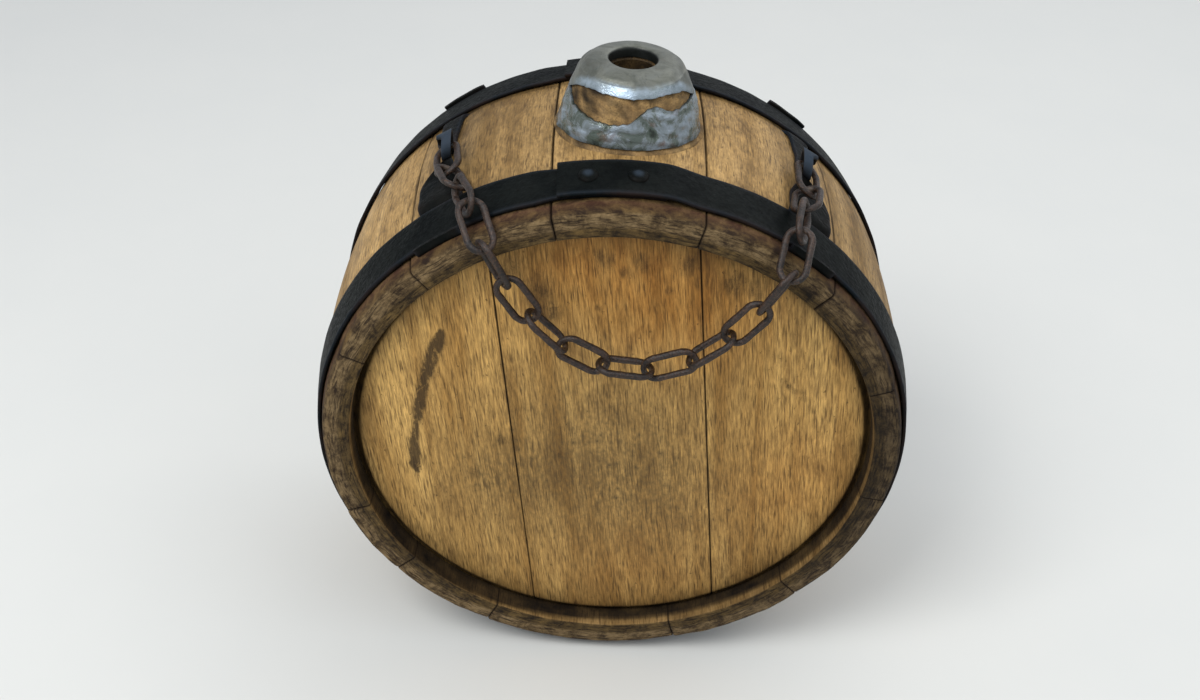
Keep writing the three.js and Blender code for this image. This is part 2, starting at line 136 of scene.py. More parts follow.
# A grid of points, path by loop, as a closed mesh. The loop closes on itself. The path closes too, or its
# two ends are filled by strips between the loop's point i and its point last - i.
def solidMesh(name, points, closedPath, marks):
    rows, columns = points.shape[:2]
    index = np.arange(rows * columns).reshape(rows, columns)
    here = index if closedPath else index[:-1]
    ahead = np.roll(index, -1, 0) if closedPath else index[1:]
    quads = [np.stack([here, np.roll(here, -1, 1), np.roll(ahead, -1, 1), ahead], -1).reshape(-1, 4)]
    if not closedPath:
        i = np.arange(columns // 2 - 1)
        j = columns - 1 - i
        quads.append(np.stack([index[0, i], index[0, j], index[0, j - 1], index[0, i + 1]], -1))
        quads.append(np.stack([index[-1, i + 1], index[-1, j - 1], index[-1, j], index[-1, i]], -1))
    faces = np.concatenate(quads)
    corners = points.reshape(-1, 3)
    a, b, c, d = (corners[faces[:, k]] for k in range(4))
    if (np.cross(b - a, c - a) * a + np.cross(c - a, d - a) * a).sum() < 0:  # volume of an inside-out mesh
        faces = faces[:, ::-1]
    mesh = bpy.data.meshes.new(name)
    mesh.from_pydata((corners * mm).tolist(), [], faces.tolist())
    for mark, values in marks.items():
        filled = np.broadcast_to(values, points.shape[:2]).astype(np.float32)
        mesh.attributes.new(mark, "FLOAT", "POINT").data.foreach_set("value", filled.ravel())
    mesh.shade_smooth()
    mesh.set_sharp_from_angle(angle=np.radians(sharpAngle))
    return mesh


# Makes a piece from a grid of points, gives it its finish and puts it on its body in place of its CAD node.
def addPiece(name, points, closedPath, finish, node, marks):
    piece = bpy.data.objects.new(name, solidMesh(name, points, closedPath, marks))
    scene.collection.objects.link(piece)
    piece.data.materials.append(finish)
    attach(piece, frame["nodes"][node]["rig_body"])
    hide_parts(node)


# An sRGB colour from 0 to 255, as the linear one that a shader takes.
def colour(red, green, blue):
    share = np.array([red, green, blue]) / 255
    linear = np.where(share < 0.04045, share / 12.92, ((share + 0.055) / 1.055) ** 2.4)
    return (*linear.tolist(), 1)


def newFinish(name):
    finish = bpy.data.materials.new(name)
    finish.use_nodes = True
    finish.node_tree.nodes.clear()
    tree = finish.node_tree
    shader = tree.nodes.new("ShaderNodeBsdfPrincipled")
    output = tree.nodes.new("ShaderNodeOutputMaterial")
    tree.links.new(shader.outputs[0], output.inputs[0])
    return finish, tree, shader


# Sets a socket: another socket is linked to it, anything else becomes its value.
def plug(tree, socket, value):
    if isinstance(value, bpy.types.NodeSocket):
        tree.links.new(value, socket)
    else:
        socket.default_value = value


def addNode(tree, kind, inputs, **settings):
    made = tree.nodes.new("ShaderNode" + kind)
    for key, value in settings.items():
        setattr(made, key, value)
    for key, value in inputs.items():
        plug(tree, made.inputs[key], value)
    return made


# Object coordinates, turned about the depth and scaled along each axis: a small number draws a pattern out.
def drawnOut(tree, scale, shift=(0, 0, 0), lean=0):
    place = addNode(tree, "TexCoord", {}).outputs["Object"]
    place = addNode(tree, "Mapping", {"Vector": place, "Rotation": (0, lean, 0)}).outputs[0]
    return addNode(tree, "Mapping", {"Vector": place, "Scale": scale, "Location": shift}).outputs[0]


def cloud(tree, vector, detail, rough, twist=0):
    inputs = {"Vector": vector, "Scale": 1, "Detail": detail, "Roughness": rough, "Distortion": twist}
    return addNode(tree, "TexNoise", inputs).outputs["Fac"]


def span(tree, value, low, high, first=0, last=1):
    inputs = {"Value": value, "From Min": low, "From Max": high, "To Min": first, "To Max": last}
    return addNode(tree, "MapRange", inputs, clamp=True).outputs[0]


def mixed(tree, share, first, second, mode="MIX"):
    made = addNode(tree, "Mix", {0: share, 6: first, 7: second}, data_type="RGBA", blend_type=mode)
    return made.outputs[2]


# Lays a colour over a shade by a share.
def over(tree, shade, share, rgb, mode="MIX"):
    return mixed(tree, share, shade, colour(*rgb), mode)


def maths(tree, operation, first, second, third=0):
    return addNode(tree, "Math", {0: first, 1: second, 2: third}, operation=operation).outputs[0]


def mark(tree, name):
    return addNode(tree, "Attribute", {}, attribute_name=name).outputs["Fac"]


def bumped(tree, shader, height, distance):
    inputs = {"Height": height, "Distance": distance * mm, "Strength": 1}
    plug(tree, shader.inputs["Normal"], addNode(tree, "Bump", inputs).outputs[0])


seamLean = 0.119  # sideways run of the head's seams and grain for each millimetre up

# Oak with its grain along one axis. Bands drawn out along the grain mix a pale and a deep colour, streaks
# change their brightness, and short dark pores and blotches lie over them. The marks add each place's wear
# and the shade painted in its corners and recesses.
oakLooks = {
    "stave": {"pale": (196, 159, 102), "deep": (149, 116, 67), "pore": (76, 54, 30), "blotch": (82, 58, 31),
              "along": 1, "lean": 0, "streak": 0.38, "blotchShare": 1, "specular": 0.18, "bump": 0.55},
    "head": {"pale": (196, 157, 92), "deep": (144, 107, 54), "pore": (66, 46, 24), "blotch": (100, 72, 37),
             "along": 2, "lean": seamLean, "streak": 0.55, "blotchShare": 0.75, "specular": 0.18,
             "bump": 0.55},
}
endGrain = {"dark": (38, 28, 15), "pale": (104, 83, 48), "line": (20, 13, 7), "ridge": (146, 124, 90),
            "russet": (88, 56, 42)}
# grime colours; corner is the near black of dirt and painted shade in corners and recesses
grimeAndShade = {"corner": (10, 6, 4), "film": (82, 68, 44), "gold": (255, 216, 158), "spill": (42, 30, 18),
         "seam": (26, 17, 10)}


def oakFinish(name, look):
    finish, tree, shader = newFinish(name)

    def grain(across, along, shift=(0, 0, 0)):
        scale = [across] * 3
        scale[look["along"]] = along
        return drawnOut(tree, scale, shift, look["lean"])

    bands = cloud(tree, grain(60, 4.5), 5, 0.6, 0.5)
    streaks = cloud(tree, grain(1050, 96, (1, 6, 2)), 4, 0.7, 0.3)
    pores = cloud(tree, grain(1300, 85, (3, 1, 2)), 2, 0.5)
    blotch = cloud(tree, grain(58, 26), 6, 0.7, 0.5)
    speck = cloud(tree, grain(520, 300, (5, 2, 9)), 3, 0.55)
    shade = mixed(tree, span(tree, bands, 0.34, 0.66), colour(*look["pale"]), colour(*look["deep"]))
    bright = span(tree, streaks, 0.3, 0.7, 1 + look["streak"], 1 - look["streak"])
    bright = maths(tree, "MULTIPLY", bright, span(tree, mark(tree, "tone"), 0, 1, 0.72, 1.16))
    shade = addNode(tree, "HueSaturation", {"Value": bright, "Color": shade}).outputs[0]
    shade = over(tree, shade, span(tree, pores, 0.54, 0.68, 0, 0.7), look["pore"])
    shade = over(tree, shade, span(tree, blotch, 0.5, 0.76, 0, look["blotchShare"]), look["blotch"])
    shade = over(tree, shade, span(tree, speck, 0.66, 0.74, 0, 0.75), look["pore"])

    # golden patches, and a grey film that sits in the pores
    gilded = maths(tree, "MULTIPLY", mark(tree, "gold"), span(tree, blotch, 0.3, 0.6, 0.45, 1))
    shade = over(tree, shade, gilded, grimeAndShade["gold"], "MULTIPLY")
    filmed = maths(tree, "MULTIPLY", mark(tree, "film"), span(tree, speck, 0.34, 0.66, 0.25, 1))
    shade = over(tree, shade, filmed, grimeAndShade["film"])

    # weathered ends: grey and brown, with dark lines that follow the rim
    ends = mark(tree, "weather")
    rim = addNode(tree, "CombineXYZ", {"X": mark(tree, "turn"), "Y": mark(tree, "sunk")}).outputs[0]
    rim = addNode(tree, "Mapping", {"Vector": rim, "Scale": (110, 820, 1)}).outputs[0]
    rings = cloud(tree, rim, 5, 0.68, 0.7)
    endCloud = cloud(tree, drawnOut(tree, (110, 110, 110), (1, 4, 2)), 7, 0.74, 0.4)
    endShade = mixed(tree, span(tree, endCloud, 0.36, 0.64),
                     colour(*endGrain["dark"]), colour(*endGrain["pale"]))
    ridge = maths(tree, "MULTIPLY", mark(tree, "ridge"), span(tree, endCloud, 0.4, 0.62, 0.1, 0.7))
    endShade = over(tree, endShade, ridge, endGrain["ridge"])
    endShade = over(tree, endShade, span(tree, rings, 0.46, 0.62, 0, 0.85), endGrain["line"])
    endShade = over(tree, endShade, span(tree, mark(tree, "russet"), 0, 1, 0, 0.6), endGrain["russet"])
    shade = mixed(tree, ends, shade, endShade)

    # dirt and painted shade in corners and recesses, spilt marks and dark seams
    uneven = span(tree, cloud(tree, drawnOut(tree, (60, 60, 60), (2, 8, 4)), 4, 0.6), 0.3, 0.7, 0.78, 1)
    shade = over(tree, shade, maths(tree, "MULTIPLY", mark(tree, "dirtAndShade"), uneven), grimeAndShade["corner"])
    smear = cloud(tree, drawnOut(tree, (300, 300, 130), (4, 4, 4)), 7, 0.78, 0.6)
    spilt = maths(tree, "MULTIPLY", mark(tree, "stain"), span(tree, smear, 0.3, 0.7, 0.25, 1.5))
    shade = over(tree, shade, span(tree, spilt, 0.2, 1.15, 0, 0.85), grimeAndShade["spill"])
    seam = maths(tree, "MULTIPLY", mark(tree, "seam"), uneven)
    shade = over(tree, shade, seam, grimeAndShade["seam"])
    plug(tree, shader.inputs["Base Color"], shade)

    gloss = maths(tree, "MULTIPLY_ADD", ends, 0.2, span(tree, bands, 0.3, 0.7, 0.5, 0.66))
    plug(tree, shader.inputs["Roughness"], gloss)
    shader.inputs["Specular IOR Level"].default_value = look["specular"]
    relief = maths(tree, "MULTIPLY_ADD", streaks, -0.45, maths(tree, "MULTIPLY", pores, -0.35))
    relief = maths(tree, "MULTIPLY_ADD", maths(tree, "MULTIPLY", rings, ends), -1, relief)
    bumped(tree, shader, relief, look["bump"])
    return finish


# Old black iron: nearly black clouds with a blue-green cast, small pits, and by marks rust or a rubbed face
# with painted sheen.
# worn: a bluish face, rubbed metal with painted sheen at the hoops' and straps' edges, and a painted
# highlight on rivet tops and strap eyes
ironLook = {"dark": (5, 8, 8), "slate": (15, 22, 21), "pit": (4, 5, 5), "rust": (44, 27, 20),
            "worn": (60, 71, 83), "roughness": (0.42, 0.62), "specular": 0.045, "bump": 0.35}


def ironFinish(name, look):
    finish, tree, shader = newFinish(name)
    broad = cloud(tree, drawnOut(tree, (45, 45, 45)), 5, 0.6)
    fine = cloud(tree, drawnOut(tree, (420, 420, 420)), 4, 0.6)
    cells = addNode(tree, "TexVoronoi", {"Vector": drawnOut(tree, (330, 330, 330)), "Scale": 1})
    pits = span(tree, cells.outputs["Distance"], 0, 0.35)
    shade = mixed(tree, span(tree, broad, 0.36, 0.66), colour(*look["dark"]), colour(*look["slate"]))
    shade = over(tree, shade, span(tree, fine, 0.52, 0.72, 0, 0.6), look["pit"])
    shade = over(tree, shade, span(tree, mark(tree, "worn"), 0, 1, 0, 0.7), look["worn"])
    rusty = maths(tree, "MULTIPLY", span(tree, broad, 0.38, 0.6), mark(tree, "rust"))
    shade = over(tree, shade, rusty, look["rust"])
    plug(tree, shader.inputs["Base Color"], shade)
    shader.inputs["Specular IOR Level"].default_value = look["specular"]
    plug(tree, shader.inputs["Roughness"], span(tree, fine, 0.35, 0.7, *look["roughness"]))
    bumped(tree, shader, maths(tree, "MULTIPLY_ADD", pits, 0.3, fine), look["bump"])
    return finish


# Rusted chain: dark brown iron with an earthy bloom in clouds, black pits, and a barer face where links rub.
chainLook = {"dark": (19, 14, 11), "brown": (52, 37, 28), "bloom": (92, 65, 45), "pit": (9, 7, 6),
             "bare": (116, 104, 92), "specular": 0.4, "bump": 0.4}


def chainFinish(name, look):
    finish, tree, shader = newFinish(name)
    broad = cloud(tree, drawnOut(tree, (120, 120, 120)), 5, 0.65)
    fine = cloud(tree, drawnOut(tree, (900, 900, 900)), 4, 0.65)
    shade = mixed(tree, span(tree, broad, 0.36, 0.64), colour(*look["dark"]), colour(*look["brown"]))
    shade = over(tree, shade, span(tree, fine, 0.52, 0.7, 0, 0.6), look["bloom"])
    shade = over(tree, shade, span(tree, fine, 0.48, 0.34, 0, 0.8), look["pit"])
    shade = over(tree, shade, span(tree, mark(tree, "worn"), 0, 1, 0, 0.6), look["bare"])
    plug(tree, shader.inputs["Base Color"], shade)
    shader.inputs["Specular IOR Level"].default_value = look["specular"]
    plug(tree, shader.inputs["Roughness"], span(tree, broad, 0.3, 0.7, 0.52, 0.34))
    bumped(tree, shader, maths(tree, "ADD", fine, broad), look["bump"])
    return finish


# Grey sheet metal: dull and even where it is sound, and by a mark scuffed in blue, green, brown and black.
# The bright mark paints a bluish highlight on the cap's front band, and the dark mark paints shade in the
# mouth and on the sheet's inner face, with dirt.
sheetLook = {"dull": (78, 80, 71), "plain": (116, 117, 108), "blue": (150, 162, 172), "grey": (108, 115, 111),
             "green": (84, 95, 86), "black": (52, 58, 52), "brown": (110, 86, 72), "dirtAndShade": (17, 21, 20),
             "bright": (196, 216, 234), "metallic": 0.5, "bump": 0.6}


def sheetFinish(name, look):
    finish, tree, shader = newFinish(name)
    broad = cloud(tree, drawnOut(tree, (85, 85, 85)), 6, 0.66, 0.6)
    patch = cloud(tree, drawnOut(tree, (100, 100, 120), (3, 6, 1)), 6, 0.66, 0.6)
    other = cloud(tree, drawnOut(tree, (70, 70, 80), (8, 2, 5)), 5, 0.66, 0.9)
    fine = cloud(tree, drawnOut(tree, (600, 600, 600)), 4, 0.6)
    tarnish = mark(tree, "tarnish")
    shade = mixed(tree, span(tree, broad, 0.35, 0.65), colour(*look["dull"]), colour(*look["plain"]))
    scuffed = mixed(tree, span(tree, patch, 0.46, 0.64), colour(*look["grey"]), colour(*look["blue"]))
    scuffed = over(tree, scuffed, span(tree, patch, 0.5, 0.38), look["green"])
    scuffed = over(tree, scuffed, span(tree, patch, 0.4, 0.3), look["black"])
    scuffed = over(tree, scuffed, span(tree, other, 0.54, 0.68, 0, 0.75), look["brown"])
    shade = mixed(tree, tarnish, shade, scuffed)
    # painted highlight: a bluish reflection
    shade = over(tree, shade, mark(tree, "bright"), look["bright"])
    shade = over(tree, shade, span(tree, fine, 0.58, 0.74, 0, 0.5), look["black"])
    # painted shade in the mouth and on the sheet's inner face, with dirt
    shade = over(tree, shade, mark(tree, "dirtAndShade"), look["dirtAndShade"])
    plug(tree, shader.inputs["Base Color"], shade)
    shader.inputs["Metallic"].default_value = look["metallic"]
    gloss = maths(tree, "MULTIPLY_ADD", tarnish, -0.2, span(tree, patch, 0.35, 0.65, 0.4, 0.56))
    plug(tree, shader.inputs["Roughness"], gloss)
    scuffs = maths(tree, "MULTIPLY", patch, tarnish)
    height = maths(tree, "MULTIPLY_ADD", scuffs, 1.2, maths(tree, "MULTIPLY", fine, 0.25))
    bumped(tree, shader, height, look["bump"])
    return finish


staveOak = oakFinish("stave oak", oakLooks["stave"])
headOak = oakFinish("head oak", oakLooks["head"])
blackIron = ironFinish("black iron", ironLook)
chainIron = chainFinish("chain iron", chainLook)
spoutSheet = sheetFinish("spout sheet", sheetLook)
print("finishes made")

headShape = {
    "recess": 12,  # face behind the rim
    "thickness": 13,
    "tongue": 7,
    "grooveDepth": 4.2,
    "edge": 3,  # open width around the face
    "seams": (-52.4, 50.6),
    "lean": -seamLean,
    "columns": 84,
    "steps": 170,
    "arris": 0.6,
    "bevel": (3.2, 1.2),  # how far the step near the edge reaches outwards and inwards
    "uneven": (0.3, 45),  # waves of the face and their length
}
staveShape = {
    "seams": [-13.8, 14.3, 43, 70, 100, 132.8, 163, 205.3, 230, 249.3, 292, 317],
    "names": ["top", "r1", "r2", "r3", "r4", "r5", "bottom", "l5", "l4", "l3", "l2", "l1"],
    "thickness": 16,
    "chime": 13.6,  # thickness at the rim
    "arris": 1.1,
    "flatness": 0.6,  # how far a stave's edges fall below the round
    "pitch": 1.9,  # spacing of the grid across a stave
    "endReach": 2.5,  # depth over which the ends are worn
    "endWear": (0.35, 0.3, 26),  # how far they are worn back: mean, waves and the waves' length
    "endSpread": 0.5,  # how much more one stave is worn than another
    "rimWaves": (0.5, 17),  # waves of the rim's outer edge and their length
    "faceWaves": (0.18, 55),  # the same on the outside
}
hoopShape = {
    "inset": 9.1,
    "width": 25.4,
    "thickness": 2.2,
    "corner": 0.7,
    "lap": (-12.4, 6.6),  # degrees from the top
    "lapGap": 0.1,
    "settle": 7,  # degrees over which the lap comes down again
    "share": 0.985,  # of the width, which leaves room for the wander of the edges
    "wander": 0.35,
    "tail": 0.13,  # share by which the end under the lap is narrower
    "beaten": (0.12, 21),  # waves of the face and their length
    "steps": 620,
}


# Where a head's groove starts, from mid depth: behind the recess, by the step beside the tongue.
def grooveStart():
    return barrel["endY"] - headShape["recess"] - (headShape["thickness"] - headShape["tongue"]) / 2


# The groove's floor as an offset: the inner face at its start, moved out by its depth.
def grooveOffset():
    return bulgeAt(grooveStart()) - staveShape["thickness"] + headShape["grooveDepth"]


# Inner face of a stave: sloped from the rim to the head, then following the bulge, with the groove cut in.
def staveInside(y):
    reach = np.abs(y)
    endY, thickness = barrel["endY"], staveShape["thickness"]
    howel = endY - headShape["recess"] + 1
    slope = np.interp(reach, [howel, endY], [bulgeAt(howel) - thickness, -staveShape["chime"]])
    inside = np.where(reach > howel, slope, bulgeAt(y) - thickness)
    near = grooveStart()
    inGroove = (reach < near + barrel["gap"]) & (reach > near - headShape["tongue"] - barrel["gap"])
    return np.where(inGroove, grooveOffset(), inside)


# The section of a stave as a loop of depth and offset: half of the front end, the outside, the back end, the
# inside and the other half of the front end. Both halves have as many points, so that strips fill the ends,
# and close pairs of points keep the groove's corners sharp.
def staveLoop():
    endY = barrel["endY"]
    near = grooveStart() + barrel["gap"]
    far = near - headShape["tongue"] - 2 * barrel["gap"]
    edge = endY - staveShape["arris"] * arrisSteps
    reach = np.concatenate([edge, np.linspace(endY - 2.2, near + 0.02, 7), [near - 0.01, (near + far) / 2],
                            [far + 0.01, far - 0.02], np.linspace(far - 3, 1.6, 22)])
    y = np.concatenate([-reach, reach[::-1]])
    outer = bulgeAt(y) - rounding(endY - np.abs(y), staveShape["arris"])
    inner = staveInside(y) + rounding(endY - np.abs(y), staveShape["arris"])
    middle = -staveShape["chime"] / 2
    count = 6  # points down half of an end
    upper = np.linspace(middle + 0.4, outer[0] - 0.5, count)
    lower = np.linspace(middle - 0.4, inner[0] + 0.5, count)
    depth = np.concatenate([np.full(count, -endY), y, np.full(count, endY)])
    upperHalf = np.stack([depth, np.concatenate([upper, outer, upper[::-1]])], -1)
    lowerHalf = np.stack([depth, np.concatenate([lower, inner, lower[::-1]])], -1)
    return np.concatenate([upperHalf, lowerHalf[::-1]])


# A stave: its section loop carried round the oval between two seams. The outside falls in a quarter circle at
# the seams and a little towards them, the ends are worn in shallow waves, and the underside is worn flat.
def staveGrid(first, last, seed):
    draw = np.random.default_rng(seed)
    loop = staveLoop()
    width = np.radians(last - first) * (barrel["halfWidth"] + barrel["halfHeight"]) / 2 - barrel["gap"]
    edge = staveShape["arris"] * np.append(arrisSteps, 1.8)
    inner = np.linspace(edge[-1] + 1.2, width - edge[-1] - 1.2, int(width / staveShape["pitch"]))
    across = np.concatenate([edge, inner, width - edge[::-1]])[:, None]
    degrees = (first + last) / 2 + (across / width - 0.5) * (last - first) * (width / (width + barrel["gap"]))
    y, offset = loop[None, :, 0], loop[None, :, 1]
    outside = smoothStep(0.3, 0.6, 1 - (bulgeAt(y) - offset) / staveShape["chime"])
    seamDistance = np.minimum(across, width - across)
    corner = rounding(seamDistance, staveShape["arris"])
    fall = corner + staveShape["flatness"] * (2 * across / width - 1) ** 2
    plain = ovalPoint(degrees, offset, y)
    atEnd = smoothStep(barrel["endY"] - staveShape["endReach"], barrel["endY"], np.abs(y))
    mean, swing, length = staveShape["endWear"]
    worn = mean + swing * waves(plain * (1, 0.2, 1), length, seed) + draw.uniform(0, staveShape["endSpread"])
    worn = worn + corner * 0.7
    swing, length = staveShape["faceWaves"]
    offset = offset - outside * (fall + swing + swing * waves(plain, length, seed + 50))
    swing, length = staveShape["rimWaves"]
    offset = offset - outside * atEnd * (swing + swing * waves(plain, length, seed + 90))
    points = ovalPoint(degrees, offset, y - np.sign(y) * atEnd * np.maximum(worn, 0))
    points[..., 2] = np.maximum(points[..., 2], 0)
    return points, degrees, seamDistance, y, loop[None, :, 1], outside


# What the staves have been through, and the shade painted on them: angles in degrees from the top, lengths in
# millimetres, and shares.
staveWear = {
    "tone": (0.2, 0.9),  # range between the staves
    "seam": 0.8,
    "film": 0.35,
    "inside": 0.55,  # weather on the inner face
    "ridges": (0.9, 0.7),  # pale lines along the rim's edge and along the hoop
    "russet": 4,  # how far the iron stain, which also paints the hoop's shadow, reaches from the hoop
    "besideHoop": 2.4,
    "besideStrap": 6,  # degrees
    "lowerLeft": (228, 34),  # where the black band of painted shade inside the rim is widest
    "right": (92, 52),  # where the rim is darker all over: painted shade on the right side
    # dirt and painted shade beside the hoops, on the rim's right side and under the straps
    "dirtAndShade": {"hoop": 0.75, "right": 0.68, "strap": 0.45},
}


# Marks of a stave: dark seams, weathered ends in front of the hoops, a pale ridge along the rim's outer edge,
# russet iron stain in front of the hoops that also paints their shadow, grime and painted shade beside the
# hoops and under the straps, painted shade darkening the rim's right side, and black painted shade with dirt
# where the inside of the rim meets the head.
def staveMarks(degrees, seamDistance, y, offset, outside, seed):
    wear = staveWear
    endY = barrel["endY"]
    reach = np.abs(y)
    hoopFront = endY - hoopShape["inset"]
    hoopRear = hoopFront - hoopShape["width"]
    weather = np.maximum(outside * smoothStep(hoopRear, hoopFront, reach), (1 - outside) * wear["inside"])
    weather = np.maximum(weather, smoothStep(endY - 2, endY - 0.5, reach))
    atRim, atHoop = wear["ridges"]
    ridge = outside * np.maximum(bell(reach, endY, atRim), bell(reach, hoopFront, atHoop))
    # russet iron stain, darkest at the hoop's front edge, where it also paints the hoop's shadow
    stained = np.exp(-np.maximum(reach - hoopFront, 0) / wear["russet"])
    russet = outside * smoothStep(hoopFront - 2, hoopFront + 0.5, reach) * stained
    # grime and painted shade in the corner beside the hoop's rear edge
    nearHoop = np.exp(-np.abs(reach - hoopRear + 0.5) / wear["besideHoop"])
    # black painted shade with dirt in the recess inside the rim, reaching furthest at the lower left
    lowerLeft = bell(degrees, *wear["lowerLeft"])
    inRim = (1 - outside) * (1 - smoothStep(endY - 8 + 6 * lowerLeft, endY - 4 + 5 * lowerLeft, reach))
    # painted shade: the rim's right side is darker
    onRight = bell(degrees, *wear["right"]) * weather * smoothStep(hoopFront - 1, hoopFront, reach)
    # grime and painted shadow beside and under the straps
    beside = np.abs((degrees + 180) % 360 - 180) - barrel["strapDegrees"]
    underStrap = bell(beside, 0, wear["besideStrap"]) * (1 - smoothStep(hoopRear, hoopRear + 3, reach))
    share = wear["dirtAndShade"]
    dirtAndShade = outside * (share["hoop"] * nearHoop * (reach < hoopRear + 4) + share["strap"] * underStrap)
    return {
        "tone": np.random.default_rng(seed).uniform(*wear["tone"]),
        "seam": wear["seam"] * (1 - smoothStep(0.12, 0.85, seamDistance)),
        "weather": weather,
        "ridge": ridge,
        "russet": russet,
        "dirtAndShade": np.clip(dirtAndShade + inRim + share["right"] * onRight, 0, 1),
        "film": wear["film"] * outside,
        "turn": np.radians(degrees) * barrel["halfWidth"] * mm,
        "sunk": offset * mm,
    }


for i, name in enumerate(staveShape["names"]):
    first = staveShape["seams"][i]
    last = (staveShape["seams"] + [staveShape["seams"][0] + 360])[i + 1]
    points, *places = staveGrid(first, last, 100 + i)
    marks = staveMarks(*places, 100 + i)
    addPiece("oak_stave_" + name, points, False, staveOak, "stave_" + name, marks)
print("staves:", len(staveShape["names"]))


# A head board: columns that lean with the seams run from the lower to the upper edge of the head's oval, over
# the front and back down the rear. Both faces step in towards the edge, and the seams are rounded off.
def boardGrid(first, last, sign, seed):
    grow = grooveOffset() - barrel["gap"]
    a, b = barrel["halfWidth"] + grow, barrel["halfHeight"] + grow
    lean = headShape["lean"]
    tip = np.sqrt(a**2 + (lean * b) ** 2) - 0.01
    share = np.linspace(0, 1, headShape["columns"])
    left, right = max(first, -tip), min(last, tip)
    if first < -tip:
        share = 1 - np.cos(share * np.pi / 2)
    if last > tip:
        share = np.sin(share * np.pi / 2)
    edge = headShape["arris"] * arrisSteps[1:]
    column = left + (right - left) * share
    extra = np.concatenate([left + edge, right - edge])
    column = np.sort(np.concatenate([column, extra]))[:, None]
    square = lean**2 / a**2 + 1 / b**2
    half = lean * column / a**2
    root = np.sqrt(np.maximum(half**2 - square * (column**2 / a**2 - 1), 1e-9))
    low, high = (-half - root) / square, (-half + root) / square
    step = 0.5 - 0.5 * np.cos(np.linspace(0, np.pi, headShape["steps"]))
    step = 0.35 * step + 0.65 * np.linspace(0, 1, headShape["steps"])
    z = low + (high - low) * step
    x = column + lean * z
    inward = (1 - np.sqrt((x / a) ** 2 + (z / b) ** 2)) * (a + b) / 2
    stepIn = headShape["grooveDepth"] + headShape["edge"]
    drop = (headShape["thickness"] - headShape["tongue"]) / 2
    outwards, inwards = headShape["bevel"]
    bevel = drop * (1 - smoothStep(stepIn - outwards, stepIn + inwards, inward))
    seamDistance = np.full_like(z, np.inf)
    if first > -tip:
        seamDistance = np.minimum(seamDistance, column - left)
    if last < tip:
        seamDistance = np.minimum(seamDistance, right - column)
    flat = np.stack([x, 0 * x, z], -1)
    swing, length = headShape["uneven"]
    uneven = swing + swing * waves(flat * (1, 1, 0.3), length, seed)
    face = barrel["endY"] - headShape["recess"]
    front = face - bevel - uneven - rounding(seamDistance, headShape["arris"])
    rear = face - headShape["thickness"] + bevel
    x = np.concatenate([x, x[:, ::-1]], 1)
    z = np.concatenate([z, z[:, ::-1]], 1)
    y = -sign * np.concatenate([front, rear[:, ::-1]], 1)
    points = np.stack([x, y, z + barrel["axisZ"]], -1)
    inward = np.concatenate([inward, inward[:, ::-1]], 1)
    seamDistance = np.concatenate([seamDistance, seamDistance[:, ::-1]], 1)
    return points, inward, seamDistance


# Stains of the front head, in millimetres: the streak has x, z and half width down its length, a spot has x,
# z, size and share.
spills = {
    "streak": [(-88.8, 216, 1.5), (-91, 208, 3.6), (-98.3, 183, 3.1), (-101.4, 164, 3.2), (-103, 153, 1.5),
               (-104.2, 141, 2.5), (-103.8, 127, 3.4), (-103, 121, 1.2)],
    "streakShare": 1.5,
    "spots": [(86.6, 194.6, 3, 1), (89, 191.5, 2.4, 1), (92.5, 188.6, 2.6, 1), (96.5, 188.5, 2.6, 0.9),
              (98, 184, 3, 0.9), (104, 176, 2.2, 0.8), (-40, 243, 13, 0.85), (-34.6, 231, 9, 1),
              (-55, 255, 10, 0.85), (32, 263, 8, 0.85), (54, 253, 10, 0.95), (66, 250, 9, 0.8),
              (1, 256, 4, 1), (9, 262, 7, 0.8), (-10, 262, 9, 0.7), (23, 247, 3, 1), (-11, 235, 3, 0.9),
              (73, 244, 4, 0.9), (-71, 123, 6, 0.75), (-27, 138, 4, 0.7), (-58, 146, 5, 0.8)],
}
# Soft patches of both heads: x, z, size and strength. The tone patches lighten the upper left and right and
# darken the top middle and the lower middle; the upper left's lightness and the fall towards the foot are
# painted light.
headPatches = {
    "tone": [(-95, 215, 55, 0.3), (100, 190, 60, 0.25), (0, 105, 75, -0.25), (0, 40, 70, -0.15),
             (0, 258, 45, -0.4)],
    "gold": [(-15, 265, 40, 0.6), (30, 235, 36, 0.55), (98, 120, 40, 0.35), (15, 60, 45, 0.3)],
    "film": [(-25, 130, 60, 0.42), (30, 110, 55, 0.42), (-65, 118, 26, 0.3), (0, 170, 45, 0.2)],
}
headWear = {
    "tone": (0.45, 0.7),  # range between the boards
    "rimWidth": (3, 7),  # how far dirt and painted shade reach in from the edge, and how much further at the foot
    "rimDirtAndShade": 0.75,
    "seam": (0.5, 0.9),  # at the lower left and elsewhere
}


# Nearness to the streak: distance from a line through its points, against its half width at that height.
def streakMark(x, z):
    lineX, lineZ, lineWide = np.array(spills["streak"])[::-1].T
    wide = np.interp(z, lineZ, lineWide)
    inRange = smoothStep(lineZ[0] - 2, lineZ[0] + 1, z) * (1 - smoothStep(lineZ[-1] - 1, lineZ[-1] + 2, z))
    return inRange * (1 - smoothStep(0.6, 1.5, np.abs(x - np.interp(z, lineZ, lineX)) / wide))


# Sum of soft patches: each a bell of its size and strength about its place.
def patchMark(x, z, patches):
    return sum(share * np.exp(-((x - px) ** 2 + (z - pz) ** 2) / size**2) for px, pz, size, share in patches)


